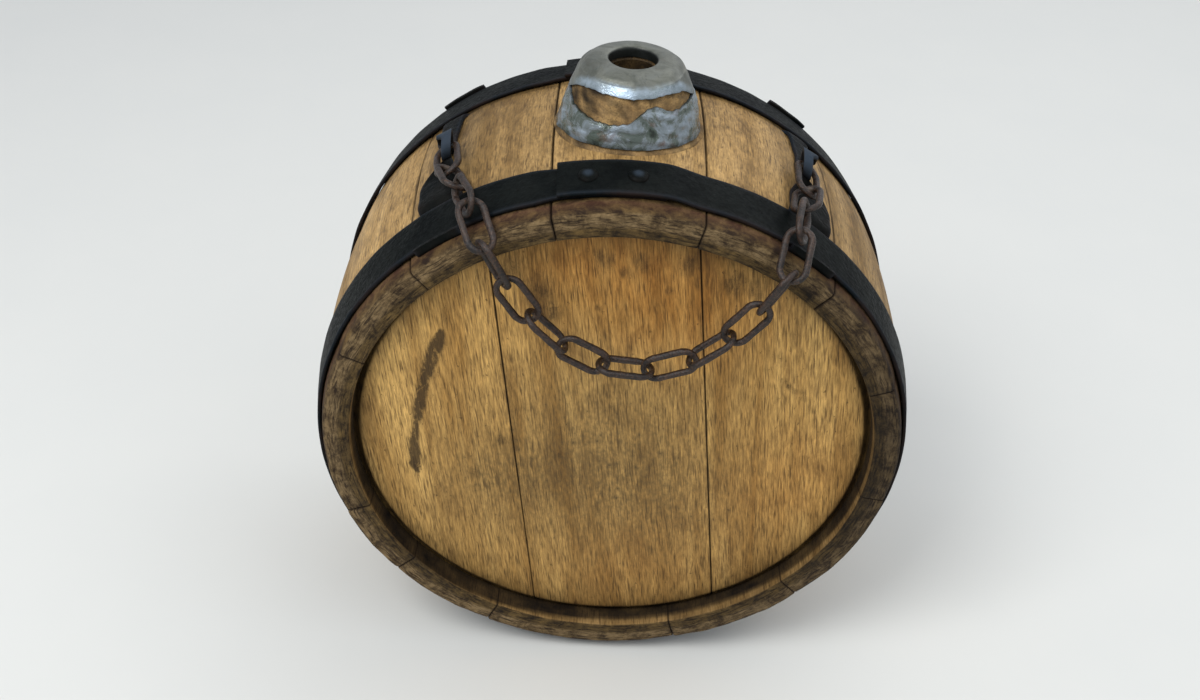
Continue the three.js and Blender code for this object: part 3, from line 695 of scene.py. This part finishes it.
# Marks of a board: dirt and painted shade fall off from the edge, exponentially and further at the foot, and
# are black in the groove; the seams are dark lines, a spot falls off by a smooth step, and the streak and the
# patches lie over them.
def boardMarks(points, inward, seamDistance, sign, seed):
    x, z = sign * points[..., 0], points[..., 2]
    nearEdge = headShape["grooveDepth"] + headShape["edge"]
    reach, more = headWear["rimWidth"]
    rim = np.exp(-np.maximum(inward - nearEdge, 0) / (reach + more * (1 - smoothStep(20, 150, z))))
    # the groove: painted black shade where the head meets the rim
    groove = 1 - smoothStep(nearEdge - 2.5, nearEdge + 1.8, inward)
    stain = spills["streakShare"] * streakMark(x, z)
    for spotX, spotZ, size, share in spills["spots"]:
        away = np.hypot(x - spotX, (z - spotZ) * 0.8) / size
        stain = np.maximum(stain, share * (1 - smoothStep(0.1, 1.2, away)))
    faint, full = headWear["seam"]
    seamShare = np.where(x < 0, faint + (full - faint) * smoothStep(60, 170, z), full)
    return {
        # tone by board, with the patches: partly painted light, lighter at the upper left and falling off
        # towards the foot
        "tone": np.random.default_rng(seed).uniform(*headWear["tone"]) + patchMark(x, z, headPatches["tone"]),
        "gold": np.clip(patchMark(x, z, headPatches["gold"]), 0, 1),
        "film": np.clip(patchMark(x, z, headPatches["film"]), 0, 1),
        "seam": (1 - smoothStep(0.1, 0.6, seamDistance)) * seamShare,
        "dirtAndShade": np.clip(headWear["rimDirtAndShade"] * rim + groove, 0, 1),
        "stain": stain * (sign > 0),
    }


leftSeam, rightSeam = headShape["seams"]
halfGap = barrel["gap"] / 2
boardEdges = [("left", -np.inf, leftSeam - halfGap), ("middle", leftSeam + halfGap, rightSeam - halfGap),
              ("right", rightSeam + halfGap, np.inf)]
for end, sign in (("front", 1), ("back", -1)):
    for i, (name, first, last) in enumerate(boardEdges):
        seed = 200 + 10 * i + sign
        points, inward, seamDistance = boardGrid(first, last, sign, seed)
        marks = boardMarks(points, inward, seamDistance, sign, seed)
        node = "head_" + end + "_" + name
        addPiece("oak_" + node, points, False, headOak, node, marks)
print("heads: 2 of 3 boards")


# A flat bar's section as a loop: half width times the sign of each corner, with quarter circles there. The
# upper half runs one way and the lower half back, with as many points, so that strips fill the bar's ends.
def barLoop(width, thickness, radius, steps):
    turn = np.radians(np.linspace(90, 0, 5))
    cornerX, cornerZ = radius * np.cos(turn), radius * np.sin(turn)
    run = np.linspace(-(width / 2 - radius), width / 2 - radius, steps)
    x = np.concatenate([(-width / 2 + radius - cornerX)[::-1], run[1:-1], width / 2 - radius + cornerX])
    z = np.concatenate([(thickness / 2 - radius + cornerZ)[::-1], np.full(steps - 2, thickness / 2),
                        thickness / 2 - radius + cornerZ])
    upper = np.stack([x, z], -1)
    return np.concatenate([upper, upper[::-1] * (1, -1)])


# A hoop: a bar's section wound once round the staves and over its own end. It starts one thickness up and
# comes down after the lap, the end under the lap is narrower, and edges and face waver from hammering.
def hoopGrid(sign, seed):
    h = hoopShape
    first, lapped = h["lap"]
    degrees = np.linspace(first, lapped + 360, h["steps"])[:, None]
    loop = barLoop(h["width"], h["thickness"], h["corner"], 15)
    across, thick = loop[None, :, 0], loop[None, :, 1]
    lift = (h["thickness"] + h["lapGap"]) * (1 - smoothStep(lapped, lapped + h["settle"], degrees))
    middle = -barrel["endY"] + h["inset"] + h["width"] / 2
    wander = h["wander"] * ringWaves(np.radians(degrees), (3, 7, 11, 19), seed) * np.sign(across)
    narrow = h["share"] - h["tail"] * smoothStep(first + 355, first + 360, degrees)
    y = middle + across * narrow + wander
    offset = bulgeAt(y) + barrel["gap"] + h["thickness"] / 2 + thick + lift
    outer = thick > 0
    swing, length = h["beaten"]
    offset = offset - outer * (swing + swing * waves(ovalPoint(degrees, offset, y), length, seed + 5))
    points = ovalPoint(degrees, offset, sign * y)
    points[..., 2] = np.maximum(points[..., 2], 0)
    edge = np.abs(np.abs(across) - h["width"] / 2)
    # rubbed metal near the edges of the outer face, with a painted bluish sheen
    worn = 0.3 * outer * np.exp(-np.abs(edge - 0.5) / 0.6)
    return points, {"rust": 0.4 * np.exp(-edge / 0.9) + 0.08, "worn": worn}


for end, sign in (("front", 1), ("back", -1)):
    points, marks = hoopGrid(sign, 300 + sign)
    addPiece("forged_hoop_" + end, points, False, blackIron, "hoop_" + end, marks)

rivetShape = {"degrees": (-7, 1.6), "radius": 5, "height": 2.1, "sunk": 0.15, "steps": 14, "round": 40}


# A rivet head: a low dome turned about the outward direction of the lap, wavering as a hammer leaves it.
def rivetGrid(degrees, sign, seed):
    y = -sign * (barrel["endY"] - hoopShape["inset"] - hoopShape["width"] / 2)
    base = barrel["gap"] + 2 * hoopShape["thickness"] - rivetShape["sunk"]
    foot = ovalPoint(degrees, bulgeAt(y) + base, y)
    beside = ovalPoint(degrees + 0.5, bulgeAt(y) + base, y) - foot
    ahead = ovalPoint(degrees, bulgeAt(y + 0.5) + base, y + 0.5) - foot
    up = np.cross(beside, ahead)
    axes = [v / np.linalg.norm(v) for v in (beside, np.cross(up, beside), up)]
    rise = np.linspace(0, 1, rivetShape["steps"])[:, None]
    angle = np.linspace(0, 2 * np.pi, rivetShape["round"], endpoint=False)[None, :]
    radius = rivetShape["radius"] * np.cos(rise * 0.497 * np.pi) ** 0.85
    radius = radius * (1 + 0.05 * ringWaves(angle, (2, 3, 5), seed))
    height = rivetShape["height"] * np.sin(rise * np.pi / 2)
    height = height * (1 - 0.06 * ringWaves(angle, (1, 2, 4), seed + 1))
    sides = radius[..., None] * (np.cos(angle)[..., None] * axes[0] + np.sin(angle)[..., None] * axes[1])
    points = foot + sides + height[..., None] * axes[2]
    # the worn mark paints a bluish highlight on the dome's top
    return points, {"rust": 0.3 * (1 - rise), "worn": 0.7 * smoothStep(0.55, 1, rise)}


for end, sign in (("front", 1), ("back", -1)):
    for i, degrees in enumerate(rivetShape["degrees"]):
        node = "rivet_" + end + "_" + str(i + 1)
        points, marks = rivetGrid(degrees, sign, 320 + 2 * i + sign)
        addPiece("forged_" + node, points, False, blackIron, node, marks)
print("hoops and rivets made")

strapShape = {
    "thickness": 2.2,
    "endWidth": 26,
    # widths from the hoop to the eye, and how far their middles lie off the eye's line, away from the top
    "front": {"width": (25, 25, 24.5, 19), "shift": (3, 3.2, 3.6, 4)},
    "rear": {"width": (12.5, 11.5, 10.5, 7), "shift": (3.6, 3.9, 3.6, 0.3)},
    "eyeWidth": 5.2,
    "eyeInward": 0.4,  # towards the top, clear of the link
    "crownWidth": 8.4,  # of the eye's top and rear, clear of the link that lifts
    "eyeForward": 8.5,
    "eyeRadius": 6.3,
    "eyeRise": 7.3,
    "eyeLean": 28,  # degrees towards the upright
    "lip": 1.5,  # end above the hoop
    "outward": 3,  # the same shift at both ends
    "crownOutward": 0.45,  # share of it at the eye's top
    "steps": 420,
}


# A smooth line through points: Catmull-Rom pieces between each point and the next, sampled evenly by length.
def smoothLine(points, count):
    padded = np.concatenate([2 * points[:1] - points[1:2], points, 2 * points[-1:] - points[-2:-1]])
    share = np.linspace(0, 1, 24, endpoint=False)[None, :, None]
    p0, p1, p2, p3 = (padded[k : len(padded) - 3 + k, None] for k in range(4))
    line = 0.5 * (2 * p1 + (p2 - p0) * share + (2 * p0 - 5 * p1 + 4 * p2 - p3) * share**2
                  + (3 * p1 - p0 - 3 * p2 + p3) * share**3)
    line = np.concatenate([line.reshape(-1, points.shape[1]), points[-1:]])
    length = np.concatenate([[0], np.cumsum(np.linalg.norm(np.diff(line[:, :2], axis=0), axis=1))])
    even = np.linspace(0, length[-1], count)
    return np.stack([np.interp(even, length, line[:, k]) for k in range(points.shape[1])], -1)


# The strap's path as depth, offset, width and outward shift: lip, run under the hoop, run to the eye, the arc
# of the eye, and the same back again.
def strapPath():
    s = strapShape
    hoopFront = -barrel["endY"] + hoopShape["inset"]
    hoopRear = hoopFront + hoopShape["width"]
    lipY = hoopFront - barrel["gap"] - s["thickness"] / 2
    sunk = -s["thickness"] / 2 - 0.5
    proud = s["thickness"] / 2 + barrel["gap"]
    eyeY = -s["eyeForward"]

    def side(sign, run):
        under = np.linspace(lipY, hoopRear + 1, 5)
        shown = np.linspace(hoopRear + 6, sign * eyeY - s["eyeRadius"] - 3.5, 4)
        y = np.concatenate([[lipY - 0.2, lipY], under[1:], shown])
        top = bulgeAt(lipY) + hoopShape["thickness"] + barrel["gap"] + s["lip"]
        offset = [[top, bulgeAt(lipY) + 0.2], bulgeAt(under[1:]) + sunk, bulgeAt(shown) + proud]
        narrow = np.linspace(s["endWidth"], (s["endWidth"] + 2 * run["width"][0]) / 3, 5)
        width = np.concatenate([[s["endWidth"]], narrow, run["width"]])
        shift = np.concatenate([np.full(6, s["outward"]), run["shift"]])
        return np.stack([y * sign, np.concatenate(offset), width, shift], -1)

    degrees = np.linspace(215, -35, 17)
    turn = np.radians(degrees)
    flare = smoothStep(-30, 20, degrees) * (1 - smoothStep(70, 110, degrees))
    width = s["eyeWidth"] + (s["crownWidth"] - s["eyeWidth"]) * flare
    shift = s["crownOutward"] * s["outward"] * flare - s["eyeInward"] * (1 - flare)
    arc = np.stack([eyeY + s["eyeRadius"] * np.cos(turn),
                    bulgeAt(eyeY) + proud + s["eyeRise"] + s["eyeRadius"] * np.sin(turn), width, shift], -1)
    return smoothLine(np.concatenate([side(1, s["front"]), arc, side(-1, s["rear"])[::-1]]), s["steps"])


# A strap: a bar's section carried along that path. Across runs round the oval, thickness runs square to the
# path, and what stands above the barrel leans towards the top.
def strapGrid(side, seed):
    s = strapShape
    path = strapPath()
    ahead = np.gradient(path[:, :2], axis=0)
    ahead /= np.linalg.norm(ahead, axis=1, keepdims=True)
    loop = barLoop(1, 1, 0.16, 9)
    across = loop[None, :, 0] * path[:, 2:3] + side * path[:, 3:4]
    thick = loop[None, :, 1] * s["thickness"]
    y = path[:, 0:1] - ahead[:, 1:2] * thick
    offset = path[:, 1:2] + ahead[:, 0:1] * thick
    standing = np.maximum(0, offset - barrel["bulge"] - s["thickness"] - barrel["gap"])
    lean = side * standing * np.tan(np.radians(s["eyeLean"]))
    plain = ovalPoint(side * barrel["strapDegrees"] + arcDegrees(across - lean), offset, y)
    beaten = 0.14 * waves(plain, 13, seed)
    across = across * (1 + 0.05 * waves(plain * (0, 1, 0), 30, seed + 3))
    points = ovalPoint(side * barrel["strapDegrees"] + arcDegrees(across - lean), offset - 0.1 + beaten, y)
    edge = np.abs(np.abs(loop[None, :, 0]) - 0.5) * path[:, 2:3]
    onEye = smoothStep(4, 14, path[:, 1:2] - bulgeAt(path[:, 0:1]))
    # the worn mark paints a bluish sky highlight on the eye's outer face; the edges are rubbed
    marks = {"rust": (0.15 + 0.35 * np.exp(-edge / 2)) * (1 - 0.6 * onEye),
             "worn": np.clip(onEye * (thick > 0) + 0.3 * np.exp(-edge / 0.7), 0, 1)}
    return points, marks


for name, side in (("left", -1), ("right", 1)):
    points, marks = strapGrid(side, 340 + side)
    addPiece("forged_strap_" + name, points, False, blackIron, "strap_" + name, marks)
print("straps made")

spoutShape = {
    "baseRadius": 36,
    "topRadius": 26.5,
    "height": 33,
    "shoulder": 5,
    "bore": 11.8,
    "sheet": 1.5,
    "belly": 1.1,  # how far the side swells between foot and shoulder
    "foot": (1.0, 1.9),  # height of the bare wooden foot at the back and at the front
    "torn": (55, 85),  # degrees from straight ahead over which the worn window ends
    "round": 288,
    # in from the side's top and down from the spout's top, over the dome towards the mouth
    "dome": [(0, 5), (0.3, 4.55), (1.05, 4.35), (1.9, 3.6), (3.6, 2.1), (6.0, 1.0), (8.8, 0.4), (11.5, 0.15)],
    # out from the bore and down from the top, round the lip and into the mouth
    "lip": [(1.5, 0.3), (0.6, 0.9), (0.25, 2.2), (0.2, 5.5)],
    # heights of both edges of the worn window, by degrees from straight ahead
    "skirtTop": [(-84, 16.4), (-66, 13.5), (-45, 11.5), (-20, 10.5), (-2, 12), (9, 16.5), (19, 20),
                 (29, 19.2), (38, 16), (55, 16), (74, 16.4)],
    "capFoot": [(-86, 16.8), (-66, 22.5), (-42, 24.6), (0, 23.8), (40, 24.4), (62, 22.8), (82, 16.8)],
}
crownZ = barrel["halfHeight"] + barrel["bulge"] + barrel["axisZ"]
spoutAngle = np.linspace(0, 2 * np.pi, spoutShape["round"], endpoint=False)
ring = spoutAngle[:, None]
facing = np.degrees(np.arctan2(np.cos(spoutAngle), -np.sin(spoutAngle)))  # degrees from straight ahead
tornOpen = 1 - smoothStep(*spoutShape["torn"], np.abs(facing))


# Height of the staves' outside above or below the crown, under a point of the plan.
def barrelHeight(x, y):
    offset = bulgeAt(y)
    share = x / (barrel["halfWidth"] + offset)
    return (barrel["halfHeight"] + offset) * np.sqrt(1 - share**2) + barrel["axisZ"] - crownZ


# Radius of the side at a height: a cone that swells by half a sine between foot and shoulder.
def sideRadius(height):
    s = spoutShape
    rise = s["height"] - s["shoulder"]
    cone = s["baseRadius"] - (s["baseRadius"] - s["topRadius"]) * height / rise
    return cone + s["belly"] * np.sin(np.pi * np.clip(height / rise, 0, 1))


# The outline above the side, as radius and height on a smooth line: over the dome, round the lip and into the
# mouth, moved square to itself by the inset.
def spoutTop(inset):
    s = spoutShape
    dome = np.array(s["dome"]) * (-1, -1) + (s["topRadius"], s["height"])
    lip = np.array(s["lip"]) * (1, -1) + (s["bore"], s["height"])
    line = smoothLine(np.concatenate([dome, lip]), 44)
    ahead = np.gradient(line, axis=0)
    ahead /= np.linalg.norm(ahead, axis=1, keepdims=True)
    return line + np.stack([-ahead[:, 1], ahead[:, 0]], -1) * inset


# Radius and height, turned about the spout's axis by the angle of each row.
def turned(radius, height):
    return np.stack([radius * np.cos(ring), radius * np.sin(ring), height], -1)


# A torn edge's height round the spout: straight runs between its points, evened out over a few degrees, and
# rippled where the sheet is torn.
def tornEdge(points, ripple, seed):
    degrees, heights = np.array(points).T
    height = np.interp(facing, degrees, heights)
    height = np.mean([np.roll(height, k) for k in range(-3, 4)], 0)
    return height + ripple * tornOpen * ringWaves(spoutAngle, (13, 21, 34, 47), seed)


# A sheet over the spout: for each angle the side runs from a lower to an upper height, and may go on over the
# dome to the mouth. The inner face is the same drawn in by the sheet's thickness. Dents move it in and out.
def sheetGrid(low, high, overTop, dents, seed):
    s = spoutShape
    share = np.linspace(0, 1, 30)[None, :]
    faces = []
    for inset in (0, s["sheet"]):
        height = low[:, None] + (high - low)[:, None] * share
        radius = sideRadius(height) - inset
        if overTop:
            top = np.tile(spoutTop(inset), (len(low), 1, 1))
            radius = np.concatenate([radius[:, :-1], top[..., 0]], 1)
            height = np.concatenate([height[:, :-1], top[..., 1]], 1)
        faces.append((radius, height))
    radius = np.concatenate([faces[0][0], faces[1][0][:, ::-1]], 1)
    height = np.concatenate([faces[0][1], faces[1][1][:, ::-1]], 1)
    plain = turned(radius, height)
    calm = 1 - 0.8 * smoothStep(s["height"] - s["shoulder"], s["height"], height)
    radius = radius - calm * dents * (0.5 + 0.5 * waves(plain, 19, seed) + 0.25 * waves(plain, 7, seed + 1))
    height = height - (1 - calm) * dents * (0.4 + 0.4 * waves(plain, 23, seed + 2))
    inside = np.arange(height.shape[1])[None, :] >= height.shape[1] // 2
    return turned(radius, height + crownZ), height, inside


base = spoutShape["baseRadius"]
footHeight = barrelHeight(base * np.cos(spoutAngle), base * np.sin(spoutAngle))[:, None]
footRise = spoutShape["foot"][0] + (spoutShape["foot"][1] - spoutShape["foot"][0]) * tornOpen[:, None]
bossShape = {
    "clear": 0.4,  # below the sheet
    "sunk": 0.6,  # how far the side goes down into the stave
    "flare": (0.8, 0.45),  # of the bare foot: how far past the sheet, and over which share of its height
    "floor": -9,  # underside, from the crown
    "under": (30, 14),  # radii across the underside
    "mouth": 6.5,  # depth over which the cap lines the bore
    "uneven": (0.004, 24),  # waves of the radius, as a share, and their length
    "tone": (0.8, 0.7),  # mean and mottle
    "film": (0.35, -0.5),
    "russet": (0.3, 0.5),
    "weather": 0.5,
    "underCap": (20, 25, 0.5),  # heights over which the cap's shadow comes in, and its share
    "leftEnd": (26, 42, 0.8),  # the same by degrees to the left
    # dirt and painted shade: painted shade in the bore, under the cap and at the left, and mottled dirt
    "dirtAndShade": {"bore": 0.95, "shadow": 0.7, "mottle": 0.4},
}


# The wooden boss under the sheet, as a loop of radius and height turned about the axis: up the bore, over the
# top, down the side, which flares exponentially at the bare foot, and back in below.
def bossGrid():
    s, b = spoutShape, bossShape
    top = spoutTop(s["sheet"] + b["clear"])[:-9]  # without the part that runs into the mouth
    side = footHeight - b["sunk"] + np.linspace(1, 0, 40)[None, :] * (top[0, 1] - footHeight + b["sunk"])
    past, share = b["flare"]
    flare = (s["sheet"] + past) * np.exp(-np.maximum(side - footHeight, 0) / (share * footRise))
    sideOut = sideRadius(side) - s["sheet"] - b["clear"] + flare
    bore = np.linspace(b["floor"], top[-1, 1] - 0.5, 18)
    boreOut = np.where(bore > s["height"] - b["mouth"], top[-1, 0], s["bore"])
    under = np.linspace(*b["under"], 6)
    rows = (len(spoutAngle), 1)
    radius = [np.tile(boreOut, rows), np.tile(top[::-1, 0], rows), sideOut, np.tile(under, rows)]
    height = [np.tile(bore, rows), np.tile(top[::-1, 1], rows), side, np.tile(0 * under + b["floor"], rows)]
    radius, height = np.concatenate(radius, 1), np.concatenate(height, 1)
    points = turned(radius, height + crownZ)
    swing, length = b["uneven"]
    points[..., :2] *= 1 - swing * (1 + waves(points, length, 405))[..., None]
    return points, radius, height


# Marks of the boss: waves mottle its tone, film and dirt, and painted shade lies under the cap, at the left
# and in the bore.
def bossMarks(points, radius, height):
    b = bossShape
    inBore = radius < spoutShape["bore"] + 1
    low, high, share = b["underCap"]
    shadow = share * smoothStep(low, high, height)
    low, high, share = b["leftEnd"]
    shadow = shadow + share * smoothStep(low, high, -facing)[:, None]
    mottle = waves(points * (1, 1, 1.6), 9, 408)
    russet = b["russet"][0] + b["russet"][1] * ringWaves(ring, (3, 5, 11), 407)
    # painted shade in the bore and under the cap, with dirt mottled in below
    dirtAndShade = b["dirtAndShade"]["bore"] * inBore + b["dirtAndShade"]["shadow"] * shadow
    return {
        "tone": b["tone"][0] + b["tone"][1] * mottle,
        "film": b["film"][0] + b["film"][1] * mottle,
        "weather": b["weather"] * (1 - inBore),
        "ridge": 1,
        "russet": np.clip(russet, 0, 1),
        "dirtAndShade": np.clip(dirtAndShade + b["dirtAndShade"]["mottle"] * waves(points, 8, 409), 0, 1),
    }


points, radius, height = bossGrid()
marks = bossMarks(points, radius, height)
addPiece("oak_spout_boss", points, True, staveOak, "stave_top", marks)

# cap: its lower edge hangs level at the front and comes down to the skirt elsewhere
capShape = {
    "ripple": 0.3,
    "dents": 0.45,
    "band": (2.5, 5.5),  # heights above the lower edge over which the scuffed band, which also takes the painted highlight, ends
    "tarnish": 0.7,
    "bright": (-12, 13, 0.85),  # degrees and spread of the painted highlight's brightest place, and its share
    # painted highlight over the whole front
    "brightBeside": 0.3,
}
capLow = tornEdge(spoutShape["capFoot"], capShape["ripple"], 402)
capHigh = np.full_like(capLow, spoutShape["height"] - spoutShape["shoulder"])
points, height, inside = sheetGrid(capLow, capHigh, True, capShape["dents"], 410)
aboveEdge = height - capLow[:, None]
intoMouth = 1 - smoothStep(0.35, 1.1, np.hypot(points[..., 0], points[..., 1]) - spoutShape["bore"])
onBand = (1 - smoothStep(*capShape["band"], aboveEdge)) * (1 - inside)
middle, spread, share = capShape["bright"]
# painted highlight: a bluish reflection on the front band, brightest 12 degrees from straight ahead
bright = share * bell(facing, middle, spread) + capShape["brightBeside"] * tornOpen
# darker along the cap's lower edge
underEdge = 0.5 * np.exp(-np.maximum(aboveEdge, 0) / 0.6)
# the dark mark: painted shade on the sheet's inner face and down into the mouth, and the darker lower edge
marks = {"tarnish": capShape["tarnish"] * onBand * (0.35 + 0.65 * tornOpen[:, None]) + 0.08,
         "bright": onBand * bright[:, None],
         "dirtAndShade": np.clip(0.9 * inside + 0.95 * intoMouth + underEdge, 0, 1)}
addPiece("sheet_spout_cap", points, True, spoutSheet, "spout_cap", marks)

# skirt: torn along the top at the front, and its lower edge follows the barrel above the foot
skirtShape = {"ripple": 0.55, "footRipple": 0.3, "dents": 1, "footDarkening": 0.55}
skirtLow = (footHeight + footRise)[:, 0] + skirtShape["footRipple"] * ringWaves(spoutAngle, (4, 7, 12), 404)
skirtHigh = tornEdge(spoutShape["skirtTop"], skirtShape["ripple"], 403)
points, height, inside = sheetGrid(skirtLow, skirtHigh, False, skirtShape["dents"], 420)
nearFoot = 1 - smoothStep(0, 3, height - skirtLow[:, None])
# darker on the inner face, painted shade, and towards the foot
marks = {"tarnish": 1, "dirtAndShade": np.clip(0.9 * inside + skirtShape["footDarkening"] * nearFoot, 0, 1)}
addPiece("sheet_spout_skirt", points, True, spoutSheet, "spout_skirt", marks)

# the bore goes on through the top stave: a tube cuts it, and the cut mesh takes the stave's place
boreCut = {"clear": 0.4, "ends": (-30, 12), "round": 64}  # ends from the crown
boreRing = np.linspace(0, 2 * np.pi, boreCut["round"], endpoint=False)[None, :]
boreWall = spoutShape["bore"] + boreCut["clear"]
boreLine = np.array(boreCut["ends"])[:, None] + crownZ
tube = np.broadcast_arrays(boreWall * np.cos(boreRing), boreWall * np.sin(boreRing), boreLine)
tube = np.stack(tube, -1)
cutter = bpy.data.objects.new("bore cutter", solidMesh("bore cutter", tube, False, {}))
scene.collection.objects.link(cutter)
topStave = bpy.data.objects["oak_stave_top"]
cut = topStave.modifiers.new("bore", "BOOLEAN")
cut.operation = "DIFFERENCE"
cut.object = cutter
bored = bpy.data.meshes.new_from_object(topStave.evaluated_get(bpy.context.evaluated_depsgraph_get()))
topStave.modifiers.remove(cut)
topStave.data = bored
bpy.data.objects.remove(cutter)
print("spout made, bore cut")

linkShape = {
    "steps": 72,
    "sides": 14,
    "round": 0.96,  # of the CAD wire's reach
    "rub": 0.1,  # share by which the wire is thinner where links rub
    "pits": (0.05, 6),  # waves of the wire, as a share, and their length
    "swells": (0.04, 15),
}


# Middle and three axes of a link's CAD node, longest first, from the spread of its corners.
def nodeAxes(name):
    mesh = frame["nodes"][name].data
    corners = np.empty(len(mesh.vertices) * 3)
    mesh.vertices.foreach_get("co", corners)
    corners = np.unique((corners.reshape(-1, 3) / mm).round(3), axis=0)
    middle = (corners.max(0) + corners.min(0)) / 2
    axes = np.linalg.eigh(np.cov((corners - corners.mean(0)).T))[1][:, ::-1].T
    axes[2] = np.cross(axes[0], axes[1])
    along = (corners - middle) @ axes.T
    middle = middle + axes.T @ ((along.max(0) + along.min(0)) / 2)
    return middle, axes, (along.max(0) - along.min(0)) / 2


# A link: a round wire carried along two straight sides and two half circles. The wire thins where links rub,
# and it is pitted and swells in short waves. It stays inside its CAD node's box.
def linkGrid(name, seed):
    middle, axes, reach = nodeAxes(name)
    wire = reach[2] * linkShape["round"]
    flat = reach[2] * np.cos(np.pi / 6)  # the CAD wire has six flat sides
    bend, half = reach[1] - flat, reach[0] - flat
    straight = half - bend
    length = np.pi * bend + 2 * straight
    run = np.linspace(0, 2 * length, linkShape["steps"], endpoint=False)[:, None]
    side = np.where(run < length, 1, -1)
    run = run % length
    turn = np.clip((run - straight) / bend, 0, np.pi) - np.pi / 2
    before = np.clip(run, 0, straight)
    after = np.clip(run - straight - np.pi * bend, 0, straight)
    x = side * (straight + bend * np.cos(turn)) - side * (after + (straight - before))
    y = side * bend * np.sin(turn)
    outX, outY = side * np.cos(turn), side * np.sin(turn)
    onSide = np.abs(turn) > np.pi / 2 - 1e-6
    angle = np.linspace(0, 2 * np.pi, linkShape["sides"], endpoint=False)[None, :]
    centre = np.concatenate([x, y, 0 * x], 1)[:, None]
    out = np.concatenate([outX, outY, 0 * x], 1)[:, None]
    section = out * np.cos(angle)[..., None] + np.array([0, 0, 1]) * np.sin(angle)[..., None]
    plain = centre + section * wire
    rub = np.abs(np.cos(turn)) * (1 - onSide)
    pit, pitLength = linkShape["pits"]
    swell, swellLength = linkShape["swells"]
    size = 1 - linkShape["rub"] * rub + pit * waves(plain, pitLength, seed)
    size = wire * (size + swell * waves(plain, swellLength, seed + 1))
    local = centre + section * size[..., None]
    lower, upper = (np.array(corner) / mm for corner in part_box(name))
    points = np.clip(middle + local @ axes, lower, upper)
    worn = smoothStep(0.75, 1, rub) * smoothStep(0.3, 1, -np.cos(angle))
    return points, {"worn": worn}


linkNodes = sorted(name for name in frame["nodes"] if name.startswith("link_"))
for i, node in enumerate(linkNodes):
    points, marks = linkGrid(node, 500 + 3 * i)
    addPiece("rusted_" + node, points, True, chainIron, node, marks)
print("chain:", len(linkNodes), "links")

# Camera: looks down on the front head, a little from the left and tilted.
view = {"place": (-20.39, -658.34, 645.2), "elevation": 36.542, "azimuth": -1.13, "roll": 3.579,
        "lens": 43.6, "sensor": 36}


# The camera's axes: back from the two angles, right and up square to it, then both turned by the roll.
def cameraMatrix():
    e, a, r = np.radians([view["elevation"], view["azimuth"], view["roll"]])
    back = np.array([np.sin(a) * np.cos(e), -np.cos(a) * np.cos(e), np.sin(e)])
    right = np.cross([0, 0, 1], back)
    right /= np.linalg.norm(right)
    up = np.cross(back, right)
    rows = np.eye(4)
    rows[:3, 0] = np.cos(r) * right + np.sin(r) * up
    rows[:3, 1] = np.cos(r) * up - np.sin(r) * right
    rows[:3, 2] = back
    rows[:3, 3] = np.array(view["place"]) * mm
    return Matrix(rows.tolist())


cameraData = bpy.data.cameras.new("photo view")
cameraData.sensor_fit = "HORIZONTAL"
cameraData.sensor_width = view["sensor"]
cameraData.lens = view["lens"]
camera = bpy.data.objects.new("photo view", cameraData)
scene.collection.objects.link(camera)
camera.matrix_world = cameraMatrix()
scene.camera = camera

studio = {
    "floorHalf": 6,  # metres
    "floorZ": -0.0002,
    "floor": (216, 216, 211),
    "floorSpeck": (211, 212, 208),
    "sky": (236, 241, 250),
    "skyStrength": 0.64,
    "aim": (0, 0, 0.15),
    "lamps": [  # place, size and power
        ((-0.7, -0.8, 1.5), 0.8, 20),
        ((0.9, -0.6, 1.1), 1.0, 3),
        ((0.7, 0.7, 1.3), 1.8, 9),
    ],
}

# floor: a wide sheet at the foot of the canteen
floorEdges = (-studio["floorHalf"], studio["floorHalf"])
floorMesh = bpy.data.meshes.new("floor")
floorMesh.from_pydata([(x, y, studio["floorZ"]) for y in floorEdges for x in floorEdges], [], [(0, 1, 3, 2)])
floor = bpy.data.objects.new("floor", floorMesh)
scene.collection.objects.link(floor)
floorFinish, floorTree, floorShader = newFinish("pale floor")
floorCloud = cloud(floorTree, drawnOut(floorTree, (9, 9, 9)), 4, 0.6)
floorShade = mixed(floorTree, floorCloud, colour(*studio["floor"]), colour(*studio["floorSpeck"]))
plug(floorTree, floorShader.inputs["Base Color"], floorShade)
floorShader.inputs["Roughness"].default_value = 0.8
floorMesh.materials.append(floorFinish)

world = bpy.data.worlds.new("soft room")
world.use_nodes = True
sky = world.node_tree.nodes["Background"]
sky.inputs["Color"].default_value = colour(*studio["sky"])
sky.inputs["Strength"].default_value = studio["skyStrength"]
scene.world = world
for i, (place, size, power) in enumerate(studio["lamps"]):
    lampData = bpy.data.lights.new("soft lamp " + str(i + 1), "AREA")
    lampData.size = size
    lampData.energy = power
    lamp = bpy.data.objects.new(lampData.name, lampData)
    scene.collection.objects.link(lamp)
    lamp.location = place
    aim = Vector(studio["aim"]) - lamp.location
    lamp.rotation_euler = aim.to_track_quat("-Z", "Y").to_euler()
scene.view_settings.view_transform = "Standard"
print("camera, floor and light made")
